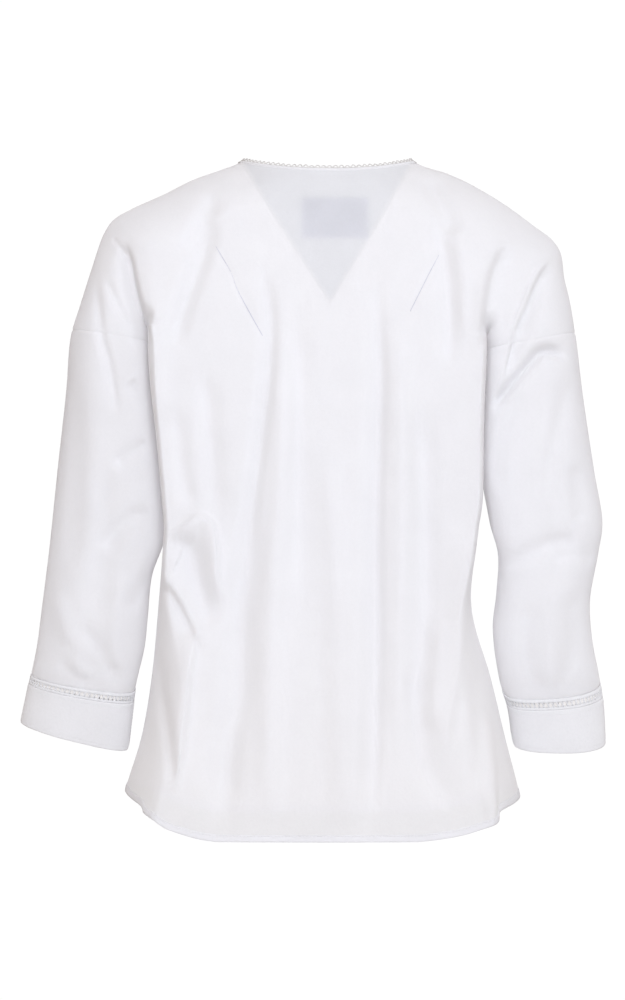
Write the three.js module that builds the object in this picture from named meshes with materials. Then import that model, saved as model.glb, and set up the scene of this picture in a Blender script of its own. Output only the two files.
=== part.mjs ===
// A woman's white folk blouse, filled out as it is worn, in millimetres.
// +Z is up, +Y is the wearer's back and +X the wearer's left. The origin is the middle of the
// neck opening, level with the points where the shoulder seams meet the neckline.
// Back and front are each cut in one with the caps of both shoulders: a panel runs from the neck
// over the shoulder to a seam round the upper arm, where the sleeve starts. A panel is a depth
// over the blouse's outline. It grows from nothing at the shoulder seam, the side seam and the
// underarm to its full depth in the middle, and the large folds are pressed into it.
import * as THREE from "three";

const { hypot, sin, cos, sqrt, abs, min, max, exp, PI } = Math;

// Driving dimensions.
const WALL = 1.5; // cloth
const TRIM_WALL = 1; // lace, binding and label
const GAP = 0.3; // clear gap between two pieces at a seam
const HEM = { back: -634, front: -630, side: -598 };
const HEM_RISE = { from: 0.62, to: 1.02 }; // where the hem rises, as shares of the half width
const NECK_DROP = 12; // dip of the back neckline below the neck points
const NECK_POWER = 2.5;
const V_POINT = { x: -8, z: -128 }; // lowest point of the front neckline
const SHOULDER_ROUND = 52; // how far below the shoulder seam the cloth reaches its full depth
const PIT_ROUND = 72; // the same above the underarm point
const ROUND_CHANGE = { top: -60, height: 90 }; // where the shoulder's rounding turns into the arm's
const ARMHOLE_BLEND = 44; // width over which the trunk's depth turns into the arm's
const SOFT_EDGE = 1.4; // folds have their full depth where the roundness passes 1 / this
const BINDING_DROP = { back: 4, front: 7 }; // height of the binding, measured straight down
const BINDING_OUT = TRIM_WALL + 0.5; // outer face of the binding, off the cloth under it
const PICOT_HEIGHT = 3;
const TRIM_WIDTH = 10;
const CUFF_CORNER = 14; // corner radius of the cuff at its slit
const CUFF_SLIT = { top: 0.6, hem: 5 }; // half width of the slit
const LABEL = { left: 19, right: -42, top: -41.5, bottom: -80, inset: 1.2 };
const SEAM_RISE = 12; // the row of cloth above the sleeve seam

// Mesh density.
const LOBE_COLUMNS = 8; // across a shoulder cap, from the outer edge to the underarm
const SHOULDER_COLUMNS = 7; // from the underarm fold to the neck point
const NECK_COLUMNS = 10;
const TRUNK_COLUMNS = 2 * SHOULDER_COLUMNS + NECK_COLUMNS;
const UPPER_ROWS = 11;
const LOWER_ROWS = 12;
const SLEEVE_ROWS = 12;
const CUFF_COLUMNS = 24;
const CUFF_ROWS = 4;
const OUTLINE_STEP = 2;

// Each side: the outline from the neck point over the shoulder and down the sleeve's outer edge,
// the sleeve's inner edge, and the fold that runs from the shoulder to the underarm. x is
// measured outwards from the middle. Heights of the seams are given at the sleeve's two edges.
const LEFT = {
  sign: 1,
  outline: [
    { x: 0, z: 92 }, { x: 45, z: 33 }, { x: 78, z: 0 }, { x: 95, z: -7 }, { x: 123, z: -17 },
    { x: 149, z: -30 }, { x: 182, z: -45 }, { x: 197, z: -54 }, { x: 207, z: -68 },
    { x: 219, z: -102 }, { x: 231, z: -140 }, { x: 238, z: -162 }, { x: 244, z: -216 },
    { x: 253, z: -292 }, { x: 261, z: -368 }, { x: 268, z: -425 }, { x: 273, z: -463 },
    { x: 282, z: -505 }, { x: 288, z: -533 }, { x: 292, z: -560 },
  ],
  inner: [
    { z: -150, x: 166 }, { z: -216, x: 164 }, { z: -285, x: 156 }, { z: -322, x: 152.5 },
    { z: -359, x: 151.5 }, { z: -394, x: 163 }, { z: -434, x: 167 }, { z: -463, x: 170 },
    { z: -501, x: 178.5 }, { z: -560, x: 186 },
  ],
  fold: [{ z: -30, x: 182 }, { z: -78, x: 181 }, { z: -121, x: 172 }, { z: -160, x: 165 }],
  neck: 78, foldTop: 182, tip: 197,
  pit: { x: 165, z: -160 },
  seam: { outer: -160, inner: -172 },
  cuff: { outer: -487, inner: -502 },
  hem: { outer: -533, inner: -558 },
  tilt: 0.12,
};
const RIGHT = {
  sign: -1,
  outline: [
    { x: 0, z: 92 }, { x: 55, z: 33 }, { x: 88, z: 0 }, { x: 119, z: -11 }, { x: 141, z: -21 },
    { x: 173, z: -40 }, { x: 199, z: -59 }, { x: 217, z: -73 }, { x: 226, z: -86 },
    { x: 230, z: -111 }, { x: 235, z: -132 }, { x: 240, z: -162 }, { x: 248, z: -216 },
    { x: 260, z: -292 }, { x: 268, z: -342 }, { x: 264, z: -370 }, { x: 256, z: -415 },
    { x: 258, z: -453 }, { x: 265, z: -491 }, { x: 269, z: -522 }, { x: 271, z: -560 },
  ],
  inner: [
    { z: -150, x: 157.5 }, { z: -216, x: 155.5 }, { z: -290, x: 153 }, { z: -344, x: 161 },
    { z: -376, x: 169 }, { z: -415, x: 167 }, { z: -447, x: 163.5 }, { z: -491, x: 169 },
    { z: -520, x: 178 }, { z: -560, x: 183 },
  ],
  fold: [{ z: -30, x: 176 }, { z: -73, x: 173 }, { z: -121, x: 161 }, { z: -166, x: 155.5 }],
  neck: 88, foldTop: 176, tip: 217,
  pit: { x: 155.5, z: -166 },
  seam: { outer: -163, inner: -179 },
  cuff: { outer: -496, inner: -502 },
  hem: { outer: -553, inner: -551 },
  tilt: 0.27,
};
const sideOf = (x) => (x >= 0 ? LEFT : RIGHT);

// The trunk, section by section: x of the side seams, depth of the flat of the back and of the
// front, y of the side seams, and the width and the power of the rounding at the sides.
const TRUNK = [
  { z: 30, left: 165, right: 155.5, back: 42, front: 36, mid: 0, round: 42, power: 2 },
  { z: 0, left: 165, right: 155.5, back: 50, front: 42, mid: 0, round: 42, power: 2 },
  { z: -30, left: 165, right: 155.5, back: 69, front: 64, mid: -1, round: 42, power: 2 },
  { z: -54, left: 165, right: 155.5, back: 82, front: 82, mid: -1, round: 42, power: 2 },
  { z: -90, left: 165, right: 155.5, back: 95, front: 101, mid: -2, round: 42, power: 2 },
  { z: -125, left: 165, right: 155.5, back: 102, front: 115, mid: -4, round: 42, power: 2 },
  { z: -165, left: 165, right: 155.5, back: 104, front: 127, mid: -4, round: 42, power: 2 },
  { z: -188, left: 164, right: 155, back: 104, front: 132, mid: -4, round: 41, power: 2 },
  { z: -215, left: 162, right: 153.5, back: 103, front: 136, mid: 2, round: 40, power: 2 },
  { z: -257, left: 157, right: 152, back: 101, front: 138, mid: 7, round: 38, power: 2 },
  { z: -322, left: 151, right: 151, back: 97, front: 132, mid: 7, round: 36, power: 2 },
  { z: -351, left: 149.5, right: 147, back: 96, front: 128, mid: 5, round: 36, power: 1.9 },
  { z: -421, left: 155.5, right: 141.5, back: 98, front: 124, mid: -6, round: 34, power: 1.8 },
  { z: -491, left: 163, right: 161, back: 105, front: 125, mid: -18, round: 32, power: 1.7 },
  { z: -548, left: 173, right: 175, back: 110, front: 127, mid: -22, round: 32, power: 1.6 },
  { z: -600, left: 189, right: 188.5, back: 113, front: 129, mid: -25, round: 34, power: 1.6 },
  { z: -640, left: 197, right: 197, back: 115, front: 130, mid: -26, round: 34, power: 1.6 },
];
const CROWN = { share: 0.1, reach: 150 }; // the flat is this much shallower at reach from the middle

// The shoulder cap and sleeve: depth behind and before, and y of the line between them.
const ARM = [
  { z: -30, back: 58, front: 60, mid: -1 },
  { z: -100, back: 68, front: 76, mid: -4 },
  { z: -165, back: 70, front: 82, mid: -4 },
  { z: -186, back: 67, front: 82, mid: -4 },
  { z: -222, back: 61, front: 80, mid: -17 },
  { z: -260, back: 56, front: 76, mid: -22 },
  { z: -340, back: 46, front: 70, mid: -24 },
  { z: -430, back: 34, front: 62, mid: -20 },
  { z: -500, back: 18, front: 55, mid: -18 },
  { z: -560, back: 9, front: 58, mid: -24 },
];

// The large folds, each a path of x and z along its bottom. A negative depth stands out. Every
// fold fades towards both of its ends.
const FOLDS = [
  { face: "back", depth: 13, width: 14, path: [[186, -70], [178, -105], [168, -148], [165, -185]] },
  { face: "back", depth: 14, width: 14, path: [[-176, -66], [-160, -118], [-154, -160], [-155, -195]] },
  { face: "back", depth: 7, width: 13, path: [[-214, -84], [-193, -140], [-174, -190], [-168, -225]] },
  { face: "back", depth: 6, width: 16, path: [[62, -150], [62, -300], [78, -460], [90, -660]] },
  { face: "back", depth: 5, width: 15, path: [[-74, -140], [-74, -330], [-84, -500], [-98, -660]] },
  { face: "back", depth: 5, width: 13, path: [[-44, -380], [-48, -520], [-46, -680]] },
  { face: "back", depth: 7, width: 15, path: [[112, -350], [104, -400], [128, -480], [136, -620]] },
  { face: "back", depth: -6, width: 18, path: [[134, -390], [112, -470], [118, -620]] },
  { face: "front", depth: 13, width: 14, path: [[184, -74], [174, -118], [166, -155], [165, -190]] },
  { face: "front", depth: 13, width: 14, path: [[-180, -78], [-166, -118], [-157, -160], [-157, -195]] },
  { face: "front", depth: 7, width: 17, path: [[84, -290], [92, -430], [104, -660]] },
  { face: "front", depth: 7, width: 17, path: [[-76, -280], [-88, -430], [-98, -660]] },
  { face: "front", depth: 5, width: 15, path: [[6, -330], [4, -460], [10, -680]] },
  { face: "back", depth: 6, width: 12, path: [[-158, -222], [-182, -196], [-210, -178], [-226, -182]] },
  { face: "back", depth: 6, width: 13, path: [[206, -150], [198, -210], [190, -262]] },
  { face: "back", depth: 6, width: 13, path: [[152, -350], [176, -342], [200, -376]] },
  { face: "back", depth: 6, width: 12, path: [[236, -440], [212, -476], [196, -492]] },
];
const FOLD_FADE = 0.25;

const mix = (a, b, t) => a + (b - a) * t;
function smooth(t) {
  const c = min(max(t, 0), 1);
  return c * c * (3 - 2 * c);
}

// One column of a table at a height, on a smooth curve through its rows.
function read(table, key, z) {
  const rows = table[0].z > table[1].z ? [...table].reverse() : table;
  const last = rows.length - 1;
  if (z <= rows[0].z) return rows[0][key];
  if (z >= rows[last].z) return rows[last][key];
  const i = rows.findIndex((row, k) => rows[k + 1].z >= z);
  const slope = (k) => {
    const below = rows[max(k - 1, 0)];
    const above = rows[min(k + 1, last)];
    return (above[key] - below[key]) / (above.z - below.z);
  };
  const span = rows[i + 1].z - rows[i].z;
  const t = (z - rows[i].z) / span;
  const a = rows[i][key];
  const b = rows[i + 1][key];
  const ta = slope(i) * span;
  const tb = slope(i + 1) * span;
  return a + t * (ta + t * (3 * (b - a) - 2 * ta - tb + t * (2 * (a - b) + ta + tb)));
}

// The outline of a side as a fine line, and where that line crosses a given x or z.
for (const side of [LEFT, RIGHT]) {
  const knots = side.outline.map((p) => new THREE.Vector3(p.x, 0, p.z));
  const curve = new THREE.CatmullRomCurve3(knots, false, "centripetal");
  side.line = curve.getSpacedPoints(Math.round(curve.getLength() / OUTLINE_STEP));
}
function outlineAt(side, key, value) {
  const { line } = side;
  const other = key === "x" ? "z" : "x";
  const i = line.findIndex((p, k) =>
    k + 1 < line.length && (p[key] - value) * (line[k + 1][key] - value) <= 0);
  const p = line[i];
  const q = line[i + 1];
  return mix(p[other], q[other], (value - p[key]) / (q[key] - p[key]));
}
const shoulder = (side, x) => outlineAt(side, "x", x);
const outer = (side, z) => outlineAt(side, "z", z);

// The nearest point of a line of points: how far off it is, and how far along.
function nearest(points, x, z) {
  let best = { away: Infinity, along: 0 };
  let length = 0;
  for (let i = 0; i + 1 < points.length; i++) {
    const p = points[i];
    const dx = points[i + 1].x - p.x;
    const dz = points[i + 1].z - p.z;
    const step = hypot(dx, dz);
    const t = min(max(((x - p.x) * dx + (z - p.z) * dz) / (step * step), 0), 1);
    const away = hypot(x - p.x - t * dx, z - p.z - t * dz);
    if (away < best.away) best = { away, along: length + t * step };
    length += step;
  }
  return { ...best, length };
}

function foldDepth(face, x, z) {
  let sum = 0;
  for (const fold of FOLDS) {
    if (fold.face !== face) continue;
    const path = fold.path.map(([px, pz]) => ({ x: px, z: pz }));
    const { away, along, length } = nearest(path, x, z);
    const fade = FOLD_FADE * length;
    const ends = smooth(along / fade) * smooth((length - along) / fade);
    sum += fold.depth * ends * exp(-((away / fold.width) ** 2));
  }
  return sum;
}

// From 0 at an edge to 1 at a distance of one, like a quarter of a circle.
const rounding = (s, power = 2) => (1 - (1 - min(max(s, 0), 1)) ** power) ** (1 / power);

// The y of a face: full depth times roundness, from the line between the faces, with the folds.
function depthY(face, x, z, full, mid, roundness) {
  const sign = face === "back" ? 1 : -1;
  const fold = foldDepth(face, x, z) * min(1, SOFT_EDGE * roundness);
  return mid + sign * ((full - sign * mid - fold) * roundness);
}

// A point of a panel. Below the underarm, limb tells the trunk from the arm.
function panelPoint(face, limb, x, z, onSeam) {
  const side = sideOf(x);
  const out = abs(x);
  const { pit } = side;
  const above = z > pit.z;
  const mid = read(TRUNK, "mid", z);
  const foldX = read(side.fold, "x", max(z, pit.z));
  const armShare = above ? smooth((out - foldX) / ARMHOLE_BLEND + 0.5) : Number(limb === "arm");
  const crown = 1 - CROWN.share * (out / CROWN.reach) ** 2;
  const full = mix(read(TRUNK, face, z) * crown, read(ARM, face, z), armShare);
  const armRound = (outer(side, pit.z) - pit.x) / 2;
  const trunkRound = read(TRUNK, "round", z);
  let roundness = 1;
  if (above) {
    const away = hypot(out - pit.x, z - pit.z);
    const steep = (z - pit.z) / max(away, 1e-6);
    roundness *= rounding(away / mix(out > foldX ? armRound : trunkRound, PIT_ROUND, steep * steep));
  } else if (limb === "arm") {
    roundness *= rounding((out - read(side.inner, "x", z)) / armRound);
  } else {
    const seamX = read(TRUNK, x >= 0 ? "left" : "right", z);
    roundness *= rounding((seamX - out) / trunkRound, read(TRUNK, "power", z));
  }
  if (above || limb === "arm") {
    const change = smooth((ROUND_CHANGE.top - z) / ROUND_CHANGE.height);
    const reach = mix(SHOULDER_ROUND, armRound, change);
    roundness *= rounding(nearest(side.line, out, z).away / reach);
  }
  const y = depthY(face, x, z, full, mid, onSeam ? 0 : roundness);
  return new THREE.Vector3(x, y + (face === "back" ? GAP : -GAP) / 2, z);
}

// The point of a sleeve or cuff. level is 0 at the sleeve seam, 1 at the top of the cuff and 2
// at its hem. turn is 0 at the outer edge, 0.5 at the inner edge, by way of the back.
function armPoint(side, level, turn) {
  const [from, to] = level < 1 ? [side.seam, side.cuff] : [side.cuff, side.hem];
  const t = level < 1 ? level : level - 1;
  const outZ = mix(from.outer, to.outer, t);
  const inZ = mix(from.inner, to.inner, t);
  const f = (1 - cos(2 * PI * turn)) / 2;
  const z = mix(outZ, inZ, f);
  const x = side.sign * mix(outer(side, outZ), read(side.inner, "x", inZ), f);
  const face = turn % 1 < 0.5 ? "back" : "front";
  const midZ = (outZ + inZ) / 2;
  const mid = read(ARM, "mid", midZ);
  const y = depthY(face, x, z, read(ARM, face, midZ), mid, abs(sin(2 * PI * turn)));
  return new THREE.Vector3(x, y, z - side.tilt * smooth(level) * (y - mid));
}

// Gives a sheet of quads its thickness. The outer skin is moved out by lift and the inner skin
// lies a wall behind it; each free edge is closed with a strip. A point listed in flats moves
// square to the directions given, so that two pieces meet face to face at a seam. The underarm
// point, where the cloth turns down on both sides, faces straight down.
function thicken(sheet, wall, lift = 0) {
  const { points, quads, flats } = sheet;
  const normals = points.map(() => new THREE.Vector3());
  const u = new THREE.Vector3();
  const v = new THREE.Vector3();
  for (const q of quads) {
    u.subVectors(points[q[2]], points[q[0]]);
    v.subVectors(points[q[3]], points[q[1]]);
    u.cross(v);
    for (const i of q) normals[i].add(u);
  }
  normals.forEach((normal, i) => {
    if (flats.get(i) === UNDERARM) normal.set(0, 0, -1);
    else for (const axis of flats.get(i) ?? []) normal.addScaledVector(axis, -normal.dot(axis));
    normal.normalize();
  });
  const skin = (move) => points.map((p, i) => p.clone().addScaledVector(normals[i], move));
  const count = points.length;
  const index = [];
  const edges = new Map();
  for (const [a, b, c, d] of quads) {
    index.push(a, b, c, a, c, d);
    index.push(count + a, count + c, count + b, count + a, count + d, count + c);
    for (const [p, q] of [[a, b], [b, c], [c, d], [d, a]])
      if (!edges.delete(q + "," + p)) edges.set(p + "," + q, [p, q]);
  }
  for (const [p, q] of edges.values()) index.push(q, p, count + p, q, count + p, count + q);
  const geometry = new THREE.BufferGeometry().setFromPoints([...skin(lift), ...skin(lift - wall)]);
  geometry.setIndex(index);
  geometry.computeVertexNormals();
  return geometry;
}

const ACROSS = new THREE.Vector3(0, 1, 0);
const UP = new THREE.Vector3(0, 0, 1);
const SEAM = [ACROSS];
const SIDE_SEAM = [ACROSS, UP];
const LEVEL = [UP];
const UNDERARM = [];

function sheetOf() {
  const sheet = { points: [], quads: [], flats: new Map() };
  sheet.add = (point, flat) => {
    sheet.points.push(point);
    if (flat) sheet.flats.set(sheet.points.length - 1, flat);
    return sheet.points.length - 1;
  };
  return sheet;
}

// Where the columns of the trunk start: along one shoulder, the neckline and the other shoulder.
function columnTop(face, j) {
  const k = j - SHOULDER_COLUMNS;
  const half = NECK_COLUMNS / 2;
  if (k < 0 || k > NECK_COLUMNS) {
    const side = k < 0 ? LEFT : RIGHT;
    const out = k < 0 ? -k : k - NECK_COLUMNS;
    const x = mix(side.neck, side.foldTop, out / SHOULDER_COLUMNS);
    return { x: side.sign * x, z: shoulder(side, x), seam: true };
  }
  const x = k <= half ? mix(LEFT.neck, V_POINT.x, k / half) : mix(V_POINT.x, -RIGHT.neck, k / half - 1);
  const ends = k === 0 || k === NECK_COLUMNS;
  const share = k <= half ? k / half : 2 - k / half;
  const z = face === "front" ? V_POINT.z * share : -NECK_DROP * (1 - (1 - share) ** NECK_POWER);
  return { x, z, seam: ends };
}

// Share of the way down from the first row to the underarm.
const rowShare = (k) => ((k - 1) / (UPPER_ROWS - 1)) ** 1.3;

function columnZ(face, top, bottom, k) {
  return k === 0 ? top : mix(top - BINDING_DROP[face], bottom, rowShare(k));
}

function hemZ(face, s) {
  return mix(HEM[face], HEM.side, smooth((abs(s) - HEM_RISE.from) / (HEM_RISE.to - HEM_RISE.from)));
}

function panel(face) {
  const sheet = sheetOf();
  const facing = (a, b, c, d) => sheet.quads.push(face === "back" ? [d, c, b, a] : [a, b, c, d]);
  const foldX = (side, z) => side.sign * read(side.fold, "x", max(z, side.pit.z));
  const trunk = [];
  for (let j = 0; j <= TRUNK_COLUMNS; j++) {
    const s = mix(-cos((PI * j) / TRUNK_COLUMNS), (2 * j) / TRUNK_COLUMNS - 1, 0.3);
    const f = (s + 1) / 2;
    const top = columnTop(face, j);
    const f0 = (foldX(LEFT, top.z) - top.x) / (foldX(LEFT, top.z) - foldX(RIGHT, top.z));
    const pitZ = mix(LEFT.pit.z, RIGHT.pit.z, f);
    const edge = j === 0 || j === TRUNK_COLUMNS;
    const column = [];
    for (let k = 0; k <= UPPER_ROWS; k++) {
      const z = columnZ(face, top.z, pitZ, k);
      const share = k ? mix(f0, f, rowShare(k)) : f0;
      const x = k ? mix(foldX(LEFT, z), foldX(RIGHT, z), share) : top.x;
      const underarm = k === UPPER_ROWS && edge;
      const onSeam = (k === 0 && top.seam) || underarm;
      const point = panelPoint(face, "trunk", x, z, onSeam);
      column.push(sheet.add(point, underarm ? UNDERARM : onSeam && SEAM));
    }
    for (let k = 1; k <= LOWER_ROWS; k++) {
      const z = mix(pitZ, hemZ(face, s), k / LOWER_ROWS);
      const x = mix(read(TRUNK, "left", z), -read(TRUNK, "right", z), f);
      column.push(sheet.add(panelPoint(face, "trunk", x, z, edge), edge && SIDE_SEAM));
    }
    trunk.push(column);
  }
  for (let j = 0; j < TRUNK_COLUMNS; j++)
    for (let k = 0; k < UPPER_ROWS + LOWER_ROWS; k++)
      facing(trunk[j][k], trunk[j + 1][k], trunk[j + 1][k + 1], trunk[j][k + 1]);

  for (const side of [LEFT, RIGHT]) {
    const inside = trunk[side === LEFT ? 0 : TRUNK_COLUMNS];
    const knee = { z: side.seam.outer + SEAM_RISE, x: 0 };
    knee.x = outer(side, knee.z);
    const tipZ = shoulder(side, side.tip);
    const foldTopZ = shoulder(side, side.foldTop);
    const columns = [];
    for (let i = 0; i < LOBE_COLUMNS; i++) {
      const f = (1 - cos((PI * i) / LOBE_COLUMNS)) / 2;
      const even = i / LOBE_COLUMNS;
      const x0 = mix(side.tip, side.foldTop, even);
      const z0 = shoulder(side, x0);
      const bottom = { x: mix(knee.x, side.pit.x, f), z: mix(knee.z, side.pit.z, f) };
      const column = [sheet.add(panelPoint(face, "arm", side.sign * x0, z0, true), SEAM)];
      for (let k = 1; k <= UPPER_ROWS; k++) {
        const z = columnZ(face, z0, bottom.z, k);
        const down = (z0 - z) / (z0 - bottom.z);
        const outerBend = outer(side, mix(tipZ, knee.z, down)) - mix(side.tip, knee.x, down);
        const foldBend = read(side.fold, "x", mix(foldTopZ, side.pit.z, down))
          - mix(side.foldTop, side.pit.x, down);
        const bend = mix(outerBend, foldBend, even);
        const x = i ? mix(x0, bottom.x, down) + bend : outer(side, z);
        const point = panelPoint(face, "arm", side.sign * x, z, i === 0);
        column.push(sheet.add(point, i === 0 && SEAM));
      }
      columns.push(column);
    }
    columns.push(inside.slice(0, UPPER_ROWS + 1));
    columns.forEach((column, i) => {
      const turn = (face === "back" ? i : 2 * LOBE_COLUMNS - i) / (2 * LOBE_COLUMNS);
      const point = armPoint(side, 0, turn);
      const edge = i === 0 || i === LOBE_COLUMNS;
      point.y += (face === "back" ? GAP : -GAP) / 2;
      point.z += GAP / 2;
      column.push(sheet.add(point, edge ? SIDE_SEAM : LEVEL));
    });
    for (let i = 0; i < LOBE_COLUMNS; i++)
      for (let k = 0; k <= UPPER_ROWS; k++) {
        const q = [columns[i][k], columns[i + 1][k], columns[i + 1][k + 1], columns[i][k + 1]];
        facing(...(side === LEFT ? q : q.reverse()));
      }
  }
  sheet.trunk = trunk;
  return sheet;
}

// A tube or band round the arm. rows and columns give the level and turn of each point.
function band(side, rows, columns, closed, place) {
  const sheet = sheetOf();
  const count = closed ? columns : columns + 1;
  for (let k = 0; k <= rows; k++)
    for (let i = 0; i < count; i++)
      sheet.add(place(k / rows, i / columns), (k === 0 || k === rows) && LEVEL);
  for (let k = 0; k < rows; k++)
    for (let i = 0; i < columns; i++) {
      const a = k * count + i;
      const b = k * count + ((i + 1) % count);
      const q = [a, b, b + count, a + count];
      sheet.quads.push(side.sign > 0 ? q.reverse() : q);
    }
  return sheet;
}

const cuffLength = (side) => side.cuff.inner - side.hem.inner;
const RING = 2 * LOBE_COLUMNS;

function sleeve(side) {
  return band(side, SLEEVE_ROWS, RING, true, (v, turn) => {
    const point = armPoint(side, v, turn);
    point.z += mix(-GAP, GAP, v) / 2;
    return point;
  });
}

function cuffTrim(side) {
  const width = TRIM_WIDTH / cuffLength(side);
  return band(side, 1, RING, true, (v, turn) => {
    const point = armPoint(side, 1 + v * width, turn);
    point.z += mix(-GAP, GAP, v) / 2;
    return point;
  });
}

// The cuff is open along a slit on the side that faces the body, with its hem corners rounded.
function cuff(side) {
  const top = 1 + TRIM_WIDTH / cuffLength(side);
  const halfDepth = (read(ARM, "back", side.hem.inner) + read(ARM, "front", side.hem.inner)) / 2;
  const perTurn = 2 * PI * halfDepth;
  return band(side, CUFF_ROWS, CUFF_COLUMNS, false, (v, u) => {
    const share = mix(u, (1 - cos(PI * u)) / 2, 0.6);
    const slit = mix(CUFF_SLIT.top, CUFF_SLIT.hem, v) / perTurn;
    const turn = 0.5 + mix(slit, 1 - slit, share);
    const fromSlit = min(share, 1 - share) * perTurn;
    const short = max(CUFF_CORNER - fromSlit, 0);
    const rise = CUFF_CORNER - sqrt(CUFF_CORNER ** 2 - short ** 2);
    const hem = 2 - rise / cuffLength(side);
    const point = armPoint(side, mix(top, hem, v), turn % 1);
    if (v === 0) point.z -= GAP / 2;
    return point;
  });
}

// The neckline of a panel, point by point, with the row of cloth below it.
function neckRows(sheet) {
  const columns = sheet.trunk.slice(SHOULDER_COLUMNS, SHOULDER_COLUMNS + NECK_COLUMNS + 1);
  return [0, 1].map((k) => columns.map((column) => sheet.points[column[k]]));
}

function strip(face, upper, lower) {
  const sheet = sheetOf();
  const last = upper.length - 1;
  for (const row of [upper, lower])
    row.forEach((point, i) => sheet.add(point.clone(), (i === 0 || i === last) && SEAM));
  for (let i = 0; i < last; i++) {
    const q = [i, i + 1, i + last + 2, i + last + 1];
    sheet.quads.push(face === "back" ? q.reverse() : q);
  }
  return sheet;
}

function neckBinding(face, sheet) {
  const [edge, below] = neckRows(sheet);
  return strip(face, edge, below);
}

// The crochet edging stands on the neckline, square to it and in line with the cloth.
function neckPicot(face, sheet) {
  const [edge, below] = neckRows(sheet);
  const last = edge.length - 1;
  const rows = [PICOT_HEIGHT, 0].map((height) => edge.map((point, i) => {
    const ends = i === 0 || i === last;
    const along = new THREE.Vector3().subVectors(edge[min(i + 1, last)], edge[max(i - 1, 0)]).normalize();
    const out = ends ? UP.clone() : new THREE.Vector3().subVectors(point, below[i]);
    if (!ends) out.addScaledVector(along, -out.dot(along)).normalize();
    const lift = ends ? BINDING_OUT + GAP + height / 2 : 3 * GAP + height;
    return point.clone().addScaledVector(out, lift);
  }));
  return strip(face, ...rows);
}

function label() {
  const sheet = sheetOf();
  const columns = 5;
  const rows = 3;
  for (let k = 0; k <= rows; k++)
    for (let i = 0; i <= columns; i++) {
      const x = mix(LABEL.left, LABEL.right, i / columns);
      sheet.add(panelPoint("back", "trunk", x, mix(LABEL.top, LABEL.bottom, k / rows), false));
    }
  for (let k = 0; k < rows; k++)
    for (let i = 0; i < columns; i++) {
      const a = k * (columns + 1) + i;
      sheet.quads.push([a + columns + 1, a + columns + 2, a + 1, a]);
    }
  return sheet;
}

const COTTON = new THREE.MeshStandardMaterial({ color: 0xf1f0f6, roughness: 0.9, side: THREE.DoubleSide });
const LACE = new THREE.MeshStandardMaterial({ color: 0xf6f5f8, roughness: 0.95, side: THREE.DoubleSide });
const LABEL_CLOTH = new THREE.MeshStandardMaterial({ color: 0xe4e6ee, roughness: 0.8 });

const group = new THREE.Group();
function piece(name, geometry, material) {
  const mesh = new THREE.Mesh(geometry, material);
  mesh.name = name;
  group.add(mesh);
}

for (const face of ["back", "front"]) {
  const sheet = panel(face);
  piece(face, thicken(sheet, WALL), COTTON);
  piece(`neck_binding_${face}`, thicken(neckBinding(face, sheet), TRIM_WALL, BINDING_OUT), COTTON);
  piece(`neck_picot_${face}`, thicken(neckPicot(face, sheet), TRIM_WALL, -GAP), LACE);
}
for (const [name, side] of [["left", LEFT], ["right", RIGHT]]) {
  piece(`sleeve_${name}`, thicken(sleeve(side), WALL), COTTON);
  piece(`cuff_trim_${name}`, thicken(cuffTrim(side), TRIM_WALL), LACE);
  piece(`cuff_${name}`, thicken(cuff(side), WALL), COTTON);
}
piece("label", thicken(label(), TRIM_WALL, -WALL - LABEL.inset), LABEL_CLOTH);

export default group;
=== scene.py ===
"""A woman's white folk blouse, filled out as it is worn and seen from the back.

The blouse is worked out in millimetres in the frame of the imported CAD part: +Z up, +Y out of the
wearer's back, +X to the wearer's left, and the origin in the middle of the neck opening. Back and
front are each cut in one with the caps of both shoulders. A panel is a depth over the blouse's
outline, and folds are pressed into it along paths. Sleeves, lace and cuffs are rings round a limb.
"""

import math

import bmesh
import bpy
import numpy as np
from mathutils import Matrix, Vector


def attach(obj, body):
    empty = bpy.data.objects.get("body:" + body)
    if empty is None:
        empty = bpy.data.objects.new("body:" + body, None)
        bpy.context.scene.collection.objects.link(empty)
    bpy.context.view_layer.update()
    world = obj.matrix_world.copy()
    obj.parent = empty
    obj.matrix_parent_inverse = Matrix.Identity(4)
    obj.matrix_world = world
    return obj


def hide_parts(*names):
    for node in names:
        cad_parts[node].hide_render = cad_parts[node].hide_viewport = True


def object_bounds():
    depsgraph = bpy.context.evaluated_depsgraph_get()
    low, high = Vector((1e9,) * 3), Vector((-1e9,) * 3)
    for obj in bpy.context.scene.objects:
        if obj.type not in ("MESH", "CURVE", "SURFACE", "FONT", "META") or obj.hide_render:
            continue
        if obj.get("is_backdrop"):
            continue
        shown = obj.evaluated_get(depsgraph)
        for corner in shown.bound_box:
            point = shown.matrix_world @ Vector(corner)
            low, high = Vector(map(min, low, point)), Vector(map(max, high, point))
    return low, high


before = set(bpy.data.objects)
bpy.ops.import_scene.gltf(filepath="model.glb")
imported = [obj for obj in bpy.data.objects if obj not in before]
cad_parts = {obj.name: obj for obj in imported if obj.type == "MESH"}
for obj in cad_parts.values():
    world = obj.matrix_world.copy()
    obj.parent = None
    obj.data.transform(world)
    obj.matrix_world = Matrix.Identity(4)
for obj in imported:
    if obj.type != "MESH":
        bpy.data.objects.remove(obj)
cad_bounds = [list(corner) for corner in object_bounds()]

MM = 0.001

# Driving dimensions, in millimetres.
HEM = {"back": -634, "front": -630}
HEM_SIDE = -598  # height of the hem's left corner
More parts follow.
